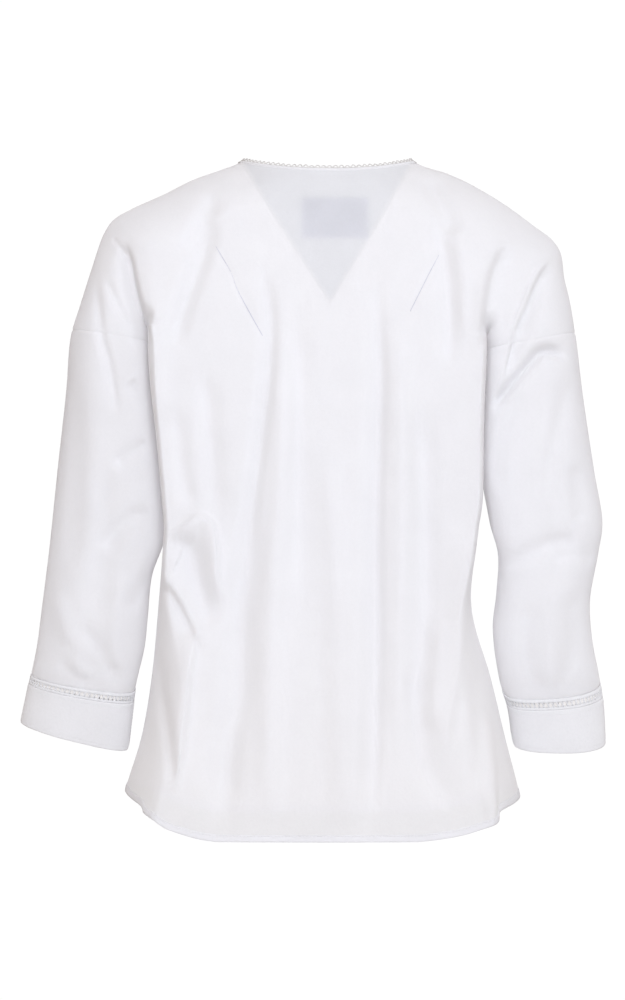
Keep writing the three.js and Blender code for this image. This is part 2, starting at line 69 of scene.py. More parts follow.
# How far up to the corner the hem is, at shares of the half width. The step is a small side notch.
HEM_RISE = {
    "left": [(0.5, 0), (0.57, 0.05), (0.64, 0.14), (0.74, 0.31), (0.81, 0.53), (0.865, 0.68),
             (0.885, 0.83), (1, 1)],
    "right": [(0.45, 0), (0.53, 0.04), (0.65, 0.14), (0.76, 0.3), (0.84, 0.45), (0.865, 0.72),
              (1, 0.84)],
}
HEM_BAND = 6.6
NECK_DROP = 12
NECK_POWER = 2.5
V_POINT = (-8, -128)
SHOULDER_ROUND = 52
PIT_ROUND = 24
CROWN_SHARE, CROWN_REACH = 0.1, 150
BINDING_DROP = {"back": 4, "front": 7}  # height of the first row of cloth under the neckline
BINDING_WIDTH = 2.6
BINDING_THICK = 0.85  # to each side of the cloth
PICOT_HEIGHT = 3.3
LOOP_POINTS = 8
PICOT_PITCH = 5.6
THREAD = 0.48  # radius of the crochet thread
TRIM_WIDTH = 10
TRIM_PITCH = 8.6
TRIM_THICK = 0.5
LACE_TOP, LACE_BOTTOM = 3.0, 2.2  # widths of the lace's two flat edges
LACE_NET, LACE_SUNK = 0.3, 0.6  # thickness of the cloth behind the lace's zigzag, and how far in
CUFF_SLIT_TOP = 0.8  # from the inner edge to an edge of the slit
CUFF_THICK = 1.5
CUFF_STITCH = 4.2  # from the edge to the row of stitches
LABEL = {"left": 19, "right": -42, "top": -41.5, "bottom": -80, "inset": 3.2}
LABEL_THICK = 0.28  # to each side of its middle
SEAM_RISE = 12  # height of the rows of cloth above the upper-arm seam
SEAM_GAP = 0.1
SEAM_ROLL, SEAM_ROLL_WIDTH = 0.6, 1.4  # cloth dips towards a seam
CRUMPLE = (23, 37)  # cells of the uneven lie of the cloth, across and down
CRUMPLE_DEPTH = 0.4
HEM_THICK = 0.5
STITCH_LENGTH, STITCH_GAP, STITCH_RADIUS = 2.3, 0.9, 0.17
WELD_DISTANCE = 0.01
ARM_BLEND = 22  # to each side of the armhole, where the trunk's depth turns into the arm's
SHOULDER_FADE = {"from": -60, "over": 90}  # where the roundness of the shoulder becomes the arm's
FLOOR_RADIUS, FLOOR_Z = 1.4, -1.05  # metres
# The studio's light, colour and strength: from beyond the blouse, from the sides and from the
# camera's side; what shows through the cloth above and below; and what the camera sees past it.
STUDIO = {
    "far": ((1.0, 0.98, 0.97, 1), 1.0),
    "side": ((1.0, 0.74, 0.54, 1), 0.3),
    "near": ((0.92, 0.952, 1.0, 1), 1.38),
    "through_high": ((0.62, 0.82, 1.1, 1), 0.15),
    "through_low": ((1.0, 0.97, 0.93, 1), 0.5),
    "past": ((1, 1, 1, 1), 1.02),
}
THROUGH_CHANGE = (-0.085, -0.02)  # slope of the line of sight where low turns to high
LIGHTS = [
    # name, place and size in metres, watts, colour
    ("key", (0.0, 1.9, 0.3), 0.6, 17.2, (0.938, 0.962, 1.0)),
]
SENSOR = 36.0
CAMERA_AWAY = 3000
CAMERA_AT = (9.2, -321)  # x and z of the camera, level with the middle of the blouse
VIEW_HEIGHT = 950  # height of what the camera sees at the blouse's middle


class Table:
    """Named columns over height, each on a smooth curve through its rows."""

    def __init__(self, names, rows):
        rows = np.array(sorted(rows), float)
        self.z = rows[:, 0]
        self.columns = {name: rows[:, i + 1] for i, name in enumerate(names)}

    def __call__(self, name, z):
        heights, values = self.z, self.columns[name]
        last = len(heights) - 1
        below = np.maximum(np.arange(last + 1) - 1, 0)
        above = np.minimum(np.arange(last + 1) + 1, last)
        slope = (values[above] - values[below]) / (heights[above] - heights[below])
        z = np.clip(z, heights[0], heights[last])
        i = np.clip(np.searchsorted(heights, z) - 1, 0, last - 1)
        span = heights[i + 1] - heights[i]
        t = (z - heights[i]) / span
        a, b = values[i], values[i + 1]
        ta, tb = slope[i] * span, slope[i + 1] * span
        return a + t * (ta + t * (3 * (b - a) - 2 * ta - tb + t * (2 * (a - b) + ta + tb)))


# The cloth turns at the sides within this share of the CAD part's width, from one height to another.
TRUNK_TIGHT = {"high": 0.2, "low": 1.15, "from": -370, "to": -520}
INNER_SQUARE = {"sleeve": 6, "cuff": 3}  # how square a sleeve's inner edge is, 2 is round
TRUNK = Table(
    ("left", "right", "back", "front", "mid", "round", "power"),
    [
        (30, 165, 155.5, 42, 36, 0, 42, 2),
        (0, 165, 155.5, 50, 42, 0, 42, 2),
        (-30, 165, 155.5, 69, 64, -1, 42, 2),
        (-54, 165, 155.5, 82, 82, -1, 42, 2),
        (-90, 165, 155.5, 95, 101, -2, 42, 2),
        (-125, 165, 155.5, 102, 115, -4, 42, 2),
        (-165, 165, 155.5, 104, 127, -4, 42, 2),
        (-188, 164, 155, 104, 132, -4, 41, 2),
        (-215, 162, 153.5, 103, 136, 2, 40, 2),
        (-257, 157, 152, 101, 138, 7, 38, 2),
        (-322, 151, 151, 97, 132, 7, 36, 2),
        (-351, 149.5, 147, 96, 128, 5, 36, 1.9),
        (-421, 155.5, 141.5, 98, 124, -6, 34, 1.8),
        (-491, 163, 161, 105, 125, -18, 32, 1.7),
        (-548, 173, 175, 110, 127, -22, 32, 1.6),
        (-600, 189, 188.5, 113, 129, -25, 34, 1.6),
        (-640, 197, 197, 115, 130, -26, 34, 1.6),
    ],
)
ARM = Table(
    ("back", "front", "mid"),
    [
        (-30, 58, 60, -1),
        (-100, 68, 76, -4),
        (-165, 70, 82, -4),
        (-186, 67, 82, -4),
        (-222, 61, 80, -17),
        (-260, 56, 76, -22),
        (-340, 46, 70, -24),
        (-430, 34, 62, -20),
        (-500, 18, 55, -18),
        (-560, 9, 58, -24),
    ],
)


class Side:
    """One side's outline, sleeve edge and seams. x is measured outwards from the middle."""

    def __init__(self, sign, outline, inner, fold, **sizes):
        self.sign = sign
        self.line = smooth_line(outline, 12)
        self.inner = Table(("x",), [(z, x) for x, z in inner])
        self.fold = Table(("x",), [(z, x) for x, z in fold])
        self.__dict__.update(sizes)
        self.crest = int(np.argmin(np.abs(self.line[:, 0] - self.tip)))

    def outer(self, z):
        return np.interp(z, self.line[::-1, 1], self.line[::-1, 0])

    def shoulder(self, x):
        ridge = self.line[: self.crest + 8]
        return np.interp(x, ridge[:, 0], ridge[:, 1])

    def fold_x(self, z):
        return self.fold("x", np.maximum(z, self.pit[1]))


def smooth_line(knots, steps):
    """A centripetal curve through the knots, as a line of points."""
    k = np.array(knots, float)
    k = np.vstack([2 * k[0] - k[1], k, 2 * k[-1] - k[-2]])
    line = []
    for p0, p1, p2, p3 in zip(k, k[1:], k[2:], k[3:]):
        d0, d1, d2 = (np.linalg.norm(b - a) ** 0.5 for a, b in ((p0, p1), (p1, p2), (p2, p3)))
        m1 = ((p1 - p0) / d0 - (p2 - p0) / (d0 + d1) + (p2 - p1) / d1) * d1
        m2 = ((p2 - p1) / d1 - (p3 - p1) / (d1 + d2) + (p3 - p2) / d2) * d1
        for t in np.arange(steps) / steps:
            line.append(
                p1 + t * (m1 + t * (3 * (p2 - p1) - 2 * m1 - m2 + t * (2 * (p1 - p2) + m1 + m2)))
            )
    return np.array(line + [k[-2]])


LEFT = Side(
    1,
    outline=[
        (0, 92), (45, 33), (78, 0), (95, -7), (123, -17), (149, -30), (182, -45), (197, -54),
        (207, -68), (219, -102), (231, -140), (238, -162), (244, -216), (253, -292), (261, -368),
        (268, -425), (273, -463), (282, -505), (288, -533), (292, -560),
    ],
    inner=[
        (166, -150), (162.9, -216), (155.2, -285), (151.9, -322), (151.3, -359), (163, -394),
        (167, -434), (170, -463), (178.5, -501), (186, -560),
    ],
    fold=[(182, -30), (181, -78), (172, -121), (165, -160)],
    neck=78, fold_top=182, tip=197, pit=(165, -160),
    seam=(-160, -172), cuff=(-487, -502), hem=(-533, -558), tilt=0.12,
    cuff_corner=6, slit_hem=4,
)
RIGHT = Side(
    -1,
    outline=[
        (0, 92), (55, 33), (88, 0), (119, -11), (141, -21), (173, -40), (199, -59), (217, -73),
        (226, -86), (230, -111), (235, -132), (240, -162), (248, -216), (260, -292), (268, -342),
        (264, -370), (256, -415), (258, -453), (265, -491), (269, -522), (271, -560),
    ],
    inner=[
        (157.5, -150), (154.9, -216), (153, -290), (161, -344), (169, -376), (167, -415),
        (163.5, -447), (169, -491), (178, -520), (183, -560),
    ],
    fold=[(176, -30), (173, -73), (161, -121), (155.5, -166)],
    neck=88, fold_top=176, tip=217, pit=(155.5, -166),
    seam=(-163, -179), cuff=(-496, -502), hem=(-553, -551), tilt=0.27,
    cuff_corner=13, slit_hem=6,
)

# Folds. Each is a path of x and z as it is seen from the camera, with the depth of its bottom and
# its width towards +x and towards -x for a path that runs down. A negative depth stands out. on
# says which limb it lies on. A crisp fold is narrow on one side.
FOLDS = {
    "back": [
        # on, depth, width on its plus side, width on its minus side, path as the camera sees it
        # Left armhole: the edge of the back drops sharply onto the cap of the sleeve.
        ("any", 19, 9, 3.2, [(190, -74), (185, -86), (178, -122), (168, -160), (163, -182)]),
        ("trunk", -3, 3, 12, [(178, -90), (170, -124), (161, -160), (157, -220), (155, -260)]),
        ("arm", 3.5, 3, 3, [(200, -72), (193, -79), (186, -90)]),
        # Right armhole: a soft trough, then the crisp edge of a fold, then a deep crease.
        ("any", 9, 5, 12, [(-178, -74), (-165, -103), (-160, -125), (-156, -155), (-153, -188)]),
        ("arm", 8, 2.8, 9, [(-222, -90), (-209, -107), (-197, -134), (-184, -165), (-180, -182),
                            (-172, -212)]),
        ("arm", -2.2, 3, 3, [(-215, -92), (-203, -107), (-191, -134), (-179, -165), (-173, -190)]),
        ("arm", 13, 7, 4, [(-236, -190), (-222, -182), (-209, -181), (-197, -193), (-180, -212),
                           (-160, -238)]),
        # Left cap and sleeve.
        ("arm", 4, 5, 4, [(216, -100), (212, -141), (209, -167), (202, -193), (197, -226), (194, -244)]),
        ("arm", 3.2, 4, 5, [(207, -108), (191, -142), (174, -164)]),
        ("arm", 4.5, 7, 7, [(184, -206), (174, -219), (163, -228)]),
        ("arm", 3.6, 8, 6, [(200, -286), (182, -273), (163, -262)]),
        ("arm", 5, 11, 8, [(210, -366), (196, -346), (180, -332), (160, -334)]),
        ("arm", 3.6, 8, 9, [(160, -388), (172, -402), (186, -424)]),
        ("arm", 4, 11, 11, [(238, -200), (234, -290), (240, -390)]),
        ("arm", 3.4, 11, 11, [(208, -270), (206, -350), (218, -440)]),
        ("arm", 2.8, 7, 10, [(234, -430), (212, -458), (198, -482), (188, -496)]),
        ("arm", 2, 7, 8, [(246, -446), (226, -470), (206, -480)]),
        ("arm", 1.6, 6, 6, [(252, -468), (232, -486), (220, -492)]),
        ("arm", 1.6, 6, 6, [(234, -492), (204, -482), (190, -470)]),
        ("arm", -4, 10, 10, [(256, -400), (240, -446), (224, -488)]),
        ("arm", -3, 9, 9, [(190, -380), (196, -440), (194, -492)]),
        # Right sleeve.
        ("arm", 4.5, 9, 9, [(-234, -200), (-226, -243), (-219, -273), (-213, -318)]),
        ("arm", 4, 8, 8, [(-240, -280), (-247, -340)]),
        ("arm", 4, 9, 9, [(-190, -214), (-174, -246), (-164, -310)]),
        ("arm", 5.5, 7, 10, [(-166, -382), (-190, -366), (-222, -352), (-250, -350)]),
        ("arm", 4, 10, 7, [(-262, -376), (-240, -362), (-214, -368)]),
        ("arm", 4, 10, 10, [(-236, -392), (-240, -440), (-230, -496)]),
        ("arm", 3, 9, 9, [(-200, -400), (-194, -450), (-204, -498)]),
        ("arm", -3, 10, 10, [(-218, -380), (-216, -440), (-216, -496)]),
        # Upper back: soft folds from the neck towards the armholes.
        ("trunk", 4.5, 10, 10, [(98, -26), (115, -58), (132, -92)]),
        ("trunk", 6.5, 11, 10, [(101, -48), (118, -98), (136, -150), (140, -180)]),
        ("trunk", 4.5, 10, 10, [(-98, -10), (-112, -38), (-128, -70)]),
        ("trunk", 5.5, 11, 10, [(-108, -50), (-119, -112), (-121, -150), (-119, -200)]),
        ("trunk", -3.5, 12, 12, [(-128, -60), (-136, -110), (-136, -170)]),
        # Long hanging folds of the back.
        ("trunk", 5.5, 9, 7, [(58, -88), (50, -140), (50, -186), (60, -274), (68, -340), (74, -400)]),
        ("trunk", 8.5, 18, 14, [(62, -330), (76, -416), (79, -511), (88, -551), (94, -650)]),
        ("trunk", -5, 14, 14, [(36, -140), (38, -270), (48, -420), (52, -650)]),
        ("trunk", 3.5, 12, 12, [(22, -120), (22, -280), (18, -450)]),
        ("trunk", 6.5, 12, 7, [(-52, -84), (-55, -200), (-52, -330), (-52, -460), (-50, -560),
                               (-47, -655)]),
        ("trunk", -4, 12, 12, [(-72, -120), (-75, -260), (-73, -420), (-71, -600)]),
        ("trunk", 5.5, 12, 13, [(-94, -210), (-98, -330), (-97, -430), (-92, -530)]),
        ("trunk", -4, 13, 13, [(-2, -240), (-12, -400), (-16, -655)]),
        ("trunk", 4, 12, 12, [(112, -190), (104, -290), (100, -345)]),
        ("trunk", -4, 13, 13, [(-28, -380), (-30, -500), (-28, -650)]),
        # Lower back, left: a hook-shaped fold round a hollow, and folds at the side.
        ("trunk", -5, 15, 3.5, [(158, -351), (136, -349), (117, -337), (106, -343), (101, -366),
                                (100, -398), (92, -420)]),
        ("trunk", 8, 16, 15, [(150, -370), (132, -366), (122, -385), (116, -412), (104, -446)]),
        ("trunk", -3.5, 4, 10, [(156, -388), (140, -404), (121, -440), (112, -466)]),
        ("trunk", 3, 9, 4, [(158, -398), (140, -418), (122, -452)]),
        ("trunk", 6.5, 8, 7, [(159, -462), (153, -505), (146, -545), (142, -596)]),
        ("trunk", -5.5, 15, 4, [(119, -436), (126, -477), (130, -519), (135, -560), (140, -606)]),
        # Lower back, right: a fold that ends in a bow, and the edge of the turned side.
        ("trunk", 5, 9, 22, [(-84, -470), (-90, -530), (-98, -575), (-114, -606), (-140, -622)]),
        ("trunk", -4.5, 12, 12, [(-112, -430), (-106, -490), (-104, -545)]),
        ("trunk", -5, 18, 9, [(-133, -330), (-136, -400), (-130, -460), (-118, -530), (-108, -590)]),
        ("trunk", -4.5, 9, 2.6, [(-158, -520), (-163, -570), (-165, -636)]),
        ("trunk", 3.5, 9, 9, [(-146, -470), (-148, -540), (-150, -600)]),
        ("trunk", 3.5, 11, 11, [(138, -230), (132, -300), (122, -336)]),
    ],
    "front": [
        ("any", 9, 7, 13, [(188, -78), (176, -122), (167, -158), (164, -190)]),
        ("any", 9, 13, 7, [(-182, -78), (-168, -122), (-158, -160), (-156, -190)]),
        ("arm", 5, 9, 9, [(214, -100), (206, -160), (190, -200)]),
        ("arm", 5, 9, 9, [(-218, -104), (-206, -160), (-186, -206)]),
        ("arm", 4, 8, 6, [(236, -330), (206, -352), (172, -356)]),
        ("arm", 4, 8, 6, [(-250, -330), (-214, -356), (-178, -364)]),
        ("arm", 3, 8, 8, [(228, -250), (232, -420), (238, -490)]),
        ("arm", 3, 8, 8, [(-232, -250), (-226, -420), (-224, -490)]),
        ("arm", 2.5, 7, 7, [(196, -280), (204, -400), (206, -490)]),
        ("arm", 2.5, 7, 7, [(-190, -280), (-196, -420), (-200, -490)]),
        ("trunk", 5, 15, 15, [(84, -250), (92, -430), (104, -660)]),
        ("trunk", 5, 15, 15, [(-76, -240), (-88, -430), (-98, -660)]),
        ("trunk", 4, 13, 13, [(6, -200), (4, -460), (10, -680)]),
        ("trunk", 3, 11, 11, [(48, -300), (46, -460), (56, -660)]),
        ("trunk", 3, 11, 11, [(-38, -280), (-42, -470), (-44, -660)]),
        ("trunk", 4, 9, 12, [(128, -340), (134, -460), (142, -640)]),
        ("trunk", 4, 12, 9, [(-126, -340), (-132, -460), (-142, -640)]),
        ("trunk", 3, 10, 10, [(92, -20), (60, -120), (44, -190)]),
        ("trunk", 3, 10, 10, [(-98, -22), (-70, -120), (-60, -190)]),
    ],
}
FOLD_FADE = 0.22
FOLD_RELIEF = {"any": 1.2, "arm": 1.35, "trunk": 1.9}  # how much deeper the folds are pressed
FOLD_WIDTH = {"any": 1.0, "arm": 0.95, "trunk": 0.86}

# Darts of the upper back: a path as the camera sees it, and how thick its dark line looks along it. The
# line's dark blue-grey is painted shadow of the dart's fold.
DARTS = {
    "dart_left": (
        [(101, -80), (94, -92), (87, -104), (81, -120), (70, -141), (56, -166)],
        [0.5, 0.8, 0.35, 0.6, 1.0, 1.0, 0.7],
    ),
    "dart_right": ([(-111, -88), (-101, -107), (-92, -125), (-83, -143)], [0.4, 0.7, 0.7, 0.8, 0.6]),
}
DART_SIZE = 0.34
DART_LIFT = 0.15
DART_FOLD = (1.6, 3.2)  # depth and width of the groove along a dart
DART_FADE, DART_STEP = 12, 2.0  # how far the groove runs out, and between points of the seam

# Mesh density.
CAP_COLUMNS = 46
SHOULDER_COLUMNS = 49
NECK_COLUMNS = 72
TRUNK_COLUMNS = 2 * SHOULDER_COLUMNS + NECK_COLUMNS
UPPER_ROWS = 84
SEAM_ROWS = 9
LOWER_ROWS = 176
HEM_ROWS = 4
RING_COLUMNS = 150
SLEEVE_ROWS = 168


def mix(a, b, t):
    return a + (b - a) * t


def smooth(t):
    c = np.clip(t, 0, 1)
    return c * c * (3 - 2 * c)


def rounding(s, power=2.0):
    return (1 - (1 - np.clip(s, 0, 1)) ** power) ** (1 / power)


def nearest(line, x, z):
    """How far points are from a line, how far along it, how far to its plus side, and its length.
    The plus side is towards +x of a line that runs down."""
    away = np.full(x.shape, 1e9)
    along = np.zeros(x.shape)
    beside = np.zeros(x.shape)
    start = 0.0
    for (ax, az), (dx, dz) in zip(line[:-1], np.diff(line, axis=0)):
        step = math.hypot(dx, dz)
        t = np.clip(((x - ax) * dx + (z - az) * dz) / (step * step), 0, 1)
        here = np.hypot(x - ax - t * dx, z - az - t * dz)
        closer = here < away
        away = np.where(closer, here, away)
        along = np.where(closer, start + t * step, along)
        beside = np.where(closer, ((z - az) * dx - (x - ax) * dz) / step, beside)
        start += step
    return away, along, beside, start


def seen(point):
    """Where the camera sees a point, in the plane of the origin."""
    scale = CAMERA_AWAY / (CAMERA_AWAY - point[..., 1])
    x = CAMERA_AT[0] + (point[..., 0] - CAMERA_AT[0]) * scale
    z = CAMERA_AT[1] + (point[..., 2] - CAMERA_AT[1]) * scale
    return x, z


def fold_depth(face, limb, point):
    """How deep the folds press each point of a face. limb is 1 on an arm and 0 on the trunk."""
    x, z = seen(point) if face == "back" else (point[..., 0], point[..., 2])
    total = np.zeros(x.shape)
    for on, depth, plus, minus, path in FOLDS[face]:
        line = smooth_line(path, 5) if len(path) > 2 else np.array(path, float)
        away, along, beside, length = nearest(line, x, z)
        width = FOLD_WIDTH[on] * mix(minus, plus, smooth(0.5 + beside / min(plus, minus)))
        fade = FOLD_FADE * length
        ends = smooth(along / fade) * smooth((length - along) / fade)
        share = {"any": 1, "arm": limb, "trunk": 1 - limb}[on]
        total += FOLD_RELIEF[on] * depth * ends * share * np.exp(-((away / width) ** 2))
    if face == "back":
        for path, _ in DARTS.values():
            away, along, _, length = nearest(smooth_line(path, 5), x, z)
            ends = smooth(along / DART_FADE) * smooth((length - along) / DART_FADE)
            total += DART_FOLD[0] * ends * (1 - limb) * np.exp(-((away / DART_FOLD[1]) ** 2))
    return total


def crumple(u, v, seed):
    """Soft uneven noise over a cloth, about -1 to 1. u and v are in cells."""
    cells = np.random.default_rng(seed).uniform(-1, 1, (64, 64))
    iu, iv = np.floor(u).astype(int), np.floor(v).astype(int)
    fu, fv = smooth(u - iu), smooth(v - iv)
    corner = lambda a, b: cells[(iu + a) % 64, (iv + b) % 64]
    return mix(mix(corner(0, 0), corner(1, 0), fu), mix(corner(0, 1), corner(1, 1), fu), fv)


def normals_of(grid):
    """Unit normals of a grid of points."""
    across = np.gradient(grid, axis=1)
    down = np.gradient(grid, axis=0)
    n = np.cross(down, across)
    return n / np.maximum(np.linalg.norm(n, axis=2, keepdims=True), 1e-9)


def panel_point(face, arm, x, z, on_seam):
    """Points of a panel with its folds. Below the underarm, arm is 1 on an arm and 0 on the trunk."""
    point = np.zeros(x.shape + (3,))
    reach_y = np.zeros(x.shape)
    roundness = np.zeros(x.shape)
    limb = np.zeros(x.shape)
    sign = 1 if face == "back" else -1
    for side in (LEFT, RIGHT):
        here = (x >= 0) if side is LEFT else (x < 0)
        xs, zs, arms = np.abs(x[here]), z[here], arm[here]
        pit_x, pit_z = side.pit
        above = zs > pit_z
        mid = TRUNK("mid", zs)
        fold_x = side.fold_x(zs)
        share = np.where(above, smooth((xs - fold_x + ARM_BLEND) / (2 * ARM_BLEND)), arms)
        crown = 1 - CROWN_SHARE * (xs / CROWN_REACH) ** 2
        full = mix(TRUNK(face, zs) * crown, ARM(face, zs), share)
        arm_round = (side.outer(pit_z) - pit_x) / 2
        lower = smooth((zs - TRUNK_TIGHT["from"]) / (TRUNK_TIGHT["to"] - TRUNK_TIGHT["from"]))
        tight = mix(TRUNK_TIGHT["high"], TRUNK_TIGHT["low"], lower)
        trunk_round = tight * TRUNK("round", zs)
        away = np.hypot(xs - pit_x, zs - pit_z)
        steep = (zs - pit_z) / np.maximum(away, 1e-6)
        flat = np.where(xs > fold_x, arm_round, trunk_round)
        seam_x = TRUNK("left" if side is LEFT else "right", zs)
        low = np.where(
            arms > 0.5,
            rounding((xs - side.inner("x", zs)) / arm_round, INNER_SQUARE["sleeve"]),
            rounding((seam_x - xs) / trunk_round, TRUNK("power", zs)),
        )
        power = mix(np.where(xs > fold_x, INNER_SQUARE["sleeve"], 2), 2, steep * steep)
        turn = np.where(above, rounding(away / mix(flat, PIT_ROUND, steep * steep), power), low)
        fade = smooth((SHOULDER_FADE["from"] - zs) / SHOULDER_FADE["over"])
        reach = mix(SHOULDER_ROUND, arm_round, fade)
        edge = rounding(nearest(side.line, xs, zs)[0] / reach)
        turn = turn * np.where(above | (arms > 0.5), edge, 1)
        point[here] = np.stack([x[here], mid, zs], axis=-1)
        reach_y[here] = full - sign * mid
        roundness[here] = turn
        limb[here] = share
    roundness = np.where(on_seam, 0, roundness)
    return depth_y(face, limb, point, reach_y, roundness, sign * SEAM_GAP / 2)


def arm_point(side, level, turn):
    """Points of a sleeve or cuff with its folds. level is 0 at the sleeve seam, 1 at the top of
    the cuff trim and 2 at the hem. turn is 0 at the outer edge and 0.5 at the inner edge."""
    low = level < 1
    t = np.where(low, level, level - 1)
    out_z = np.where(low, mix(side.seam[0], side.cuff[0], t), mix(side.cuff[0], side.hem[0], t))
    in_z = np.where(low, mix(side.seam[1], side.cuff[1], t), mix(side.cuff[1], side.hem[1], t))
    f = (1 - np.cos(2 * np.pi * turn)) / 2
    z = mix(out_z, in_z, f)
    x = side.sign * mix(side.outer(out_z), side.inner("x", in_z), f)
    mid_z = (out_z + in_z) / 2
    mid = ARM("mid", mid_z)
    square = mix(INNER_SQUARE["sleeve"], INNER_SQUARE["cuff"], smooth(level))
    roundness = np.where(f > 0.5, rounding(2 * (1 - f), square), np.abs(np.sin(2 * np.pi * turn)))
    flat = np.stack([x, mid, z], axis=-1)
    faces = {}
    for face, sign in (("back", 1), ("front", -1)):
        reach = ARM(face, mid_z) - sign * mid
        faces[face] = depth_y(face, np.ones(x.shape), flat, reach, roundness, 0)
    point = np.where(((turn % 1) < 0.5)[..., None], faces["back"], faces["front"])
    point[..., 2] -= side.tilt * smooth(level) * (point[..., 1] - mid)
    return point


def depth_y(face, limb, point, reach, roundness, gap):
    """Moves points out from the line between the faces, and presses the folds into them."""
    sign = 1 if face == "back" else -1
    point = point.copy()
    middle = point[..., 1].copy()
    point[..., 1] = middle + sign * reach * roundness
    soft = np.clip(1.4 * roundness, 0, 1)
    fold = fold_depth(face, limb, point) * soft
    u, v = point[..., 0] / CRUMPLE[0], point[..., 2] / CRUMPLE[1]
    seed = 11 if face == "back" else 17
    uneven = crumple(u, v, seed) + 0.6 * crumple(2.3 * u + 9, 2.1 * v, seed + 1)
    fold = fold + CRUMPLE_DEPTH * soft * uneven
    point[..., 1] = middle + sign * (reach - fold) * roundness + gap
    return point


# Meshes.


def add_mesh(name, points, faces, uvs, material, closed=False):
    """A mesh from points and cloth coordinates in millimetres, one pair for each point."""
    mesh = bpy.data.meshes.new(name)
    mesh.from_pydata((np.asarray(points) * MM).tolist(), [], faces)
    if closed:
        edit = bmesh.new()
        edit.from_mesh(mesh)
        bmesh.ops.recalc_face_normals(edit, faces=edit.faces)
        edit.to_mesh(mesh)
        edit.free()
    layer = mesh.uv_layers.new(name="Cloth")
    corners = np.zeros(len(mesh.loops), int)
    mesh.loops.foreach_get("vertex_index", corners)
    layer.data.foreach_set("uv", (np.asarray(uvs) * MM)[corners].ravel())
    mesh.polygons.foreach_set("use_smooth", [True] * len(mesh.polygons))
    mesh.materials.append(material)
    obj = bpy.data.objects.new(name, mesh)
    bpy.context.scene.collection.objects.link(obj)
    return obj


def grid_faces(rows, columns, start=0, flip=False):
    """Quads over a grid of points whose first point has the number start."""
    count = columns + 1
    k, i = np.meshgrid(np.arange(rows), np.arange(columns), indexing="ij")
    a = start + k * count + i
    quads = np.stack([a, a + 1, a + 1 + count, a + count], axis=-1).reshape(-1, 4)
    return (quads[:, ::-1] if flip else quads).tolist()


def shell(grid, half, shift=0.0):
    """A closed skin round a grid of points: half its thickness to each side, moved out by shift.
    Returns its points and faces. half may vary over the grid, which rounds the edges."""
    rows, columns = grid.shape[0] - 1, grid.shape[1] - 1
    n = normals_of(grid)
    half = np.broadcast_to(half, grid.shape[:2])[..., None]
    outer = grid + n * (shift + half)
    inner = grid + n * (shift - half)
    count = grid.shape[0] * grid.shape[1]
    faces = grid_faces(rows, columns)
    faces += grid_faces(rows, columns, count, flip=True)
    wide = grid.shape[1]
    last = rows * wide
    for i in range(columns):
        j = i + 1
        faces.append([j, i, count + i, count + j])
        faces.append([last + i, last + j, count + last + j, count + last + i])
    for k in range(rows):
        a, b = k * wide, (k + 1) * wide
        faces.append([a, b, count + b, count + a])
        faces.append([b + wide - 1, a + wide - 1, count + a + wide - 1, count + b + wide - 1])
    points = np.concatenate([outer.reshape(-1, 3), inner.reshape(-1, 3)])
    return points, faces


def tube(path, radius, sides=6):
    """Points and faces of a round thread along a path."""
    path = np.asarray(path, float)
    along = np.gradient(path, axis=0)
    along /= np.maximum(np.linalg.norm(along, axis=1, keepdims=True), 1e-9)
    helper = np.where(np.abs(along[:, 2:3]) > 0.9, [[0.0, 1.0, 0.0]], [[0.0, 0.0, 1.0]])
    u = np.cross(along, helper)
    u /= np.maximum(np.linalg.norm(u, axis=1, keepdims=True), 1e-9)
    v = np.cross(along, u)
    turn = 2 * np.pi * np.arange(sides) / sides
    ring = u[:, None] * np.cos(turn)[None, :, None] + v[:, None] * np.sin(turn)[None, :, None]
    points = (path[:, None] + radius * ring).reshape(-1, 3)
    n = len(path)
    faces = []
    for k in range(n - 1):
        a, b = k * sides, (k + 1) * sides
        for i in range(sides):
            j = (i + 1) % sides
            faces.append([a + i, b + i, b + j, a + j])
    faces.append(list(range(sides)))
    faces.append([(n - 1) * sides + i for i in range(sides)][::-1])
    return points, faces


def join(parts):
    points, faces, start = [], [], 0
    for p, f in parts:
        points.append(p)
        faces += [[start + i for i in face] for face in f]
        start += len(p)
    return np.concatenate(points), faces


def flat_uv(points):
    """A rough unrolling of small pieces, in millimetres."""
    return points[:, [0, 2]] + points[:, [1, 1]] * [0.7, 0]


def grid_uv(grid):
    """Distances over a grid of cloth: across from its middle column and down from its top row."""
    across = np.linalg.norm(np.diff(grid, axis=1), axis=2).cumsum(axis=1)
    across = np.pad(across, ((0, 0), (1, 0)))
    across -= across[:, [grid.shape[1] // 2]]
    down = np.linalg.norm(np.diff(grid, axis=0), axis=2).cumsum(axis=0)
    down = np.pad(down, ((1, 0), (0, 0)))
    return np.stack([across, -down], axis=-1)


def stitches(line, normals, out, length=STITCH_LENGTH):
    """A row of sewn stitches along a line of points on cloth, out above it."""
    steps = np.linalg.norm(np.diff(line, axis=0), axis=1)
    at = np.concatenate([[0], np.cumsum(steps)])
    parts = []
    place = lambda s, rows: np.stack([np.interp(s, at, rows[:, i]) for i in range(3)], axis=-1)
    for s in np.arange(STITCH_GAP, at[-1] - length, length + STITCH_GAP):
        along = s + length * np.array([0, 0.25, 0.75, 1])
        lift = out + STITCH_RADIUS * np.array([-1.2, 0.4, 0.4, -1.2])
        path = place(along, line) + place(along, normals) * lift[:, None]
        parts.append(tube(path, STITCH_RADIUS, 5))
    return join(parts)


# The panels.


def row_share(k):
    """Share of the way down from the second row to the underarm."""
    return (np.maximum(k - 1, 0) / (UPPER_ROWS - 1)) ** 1.3


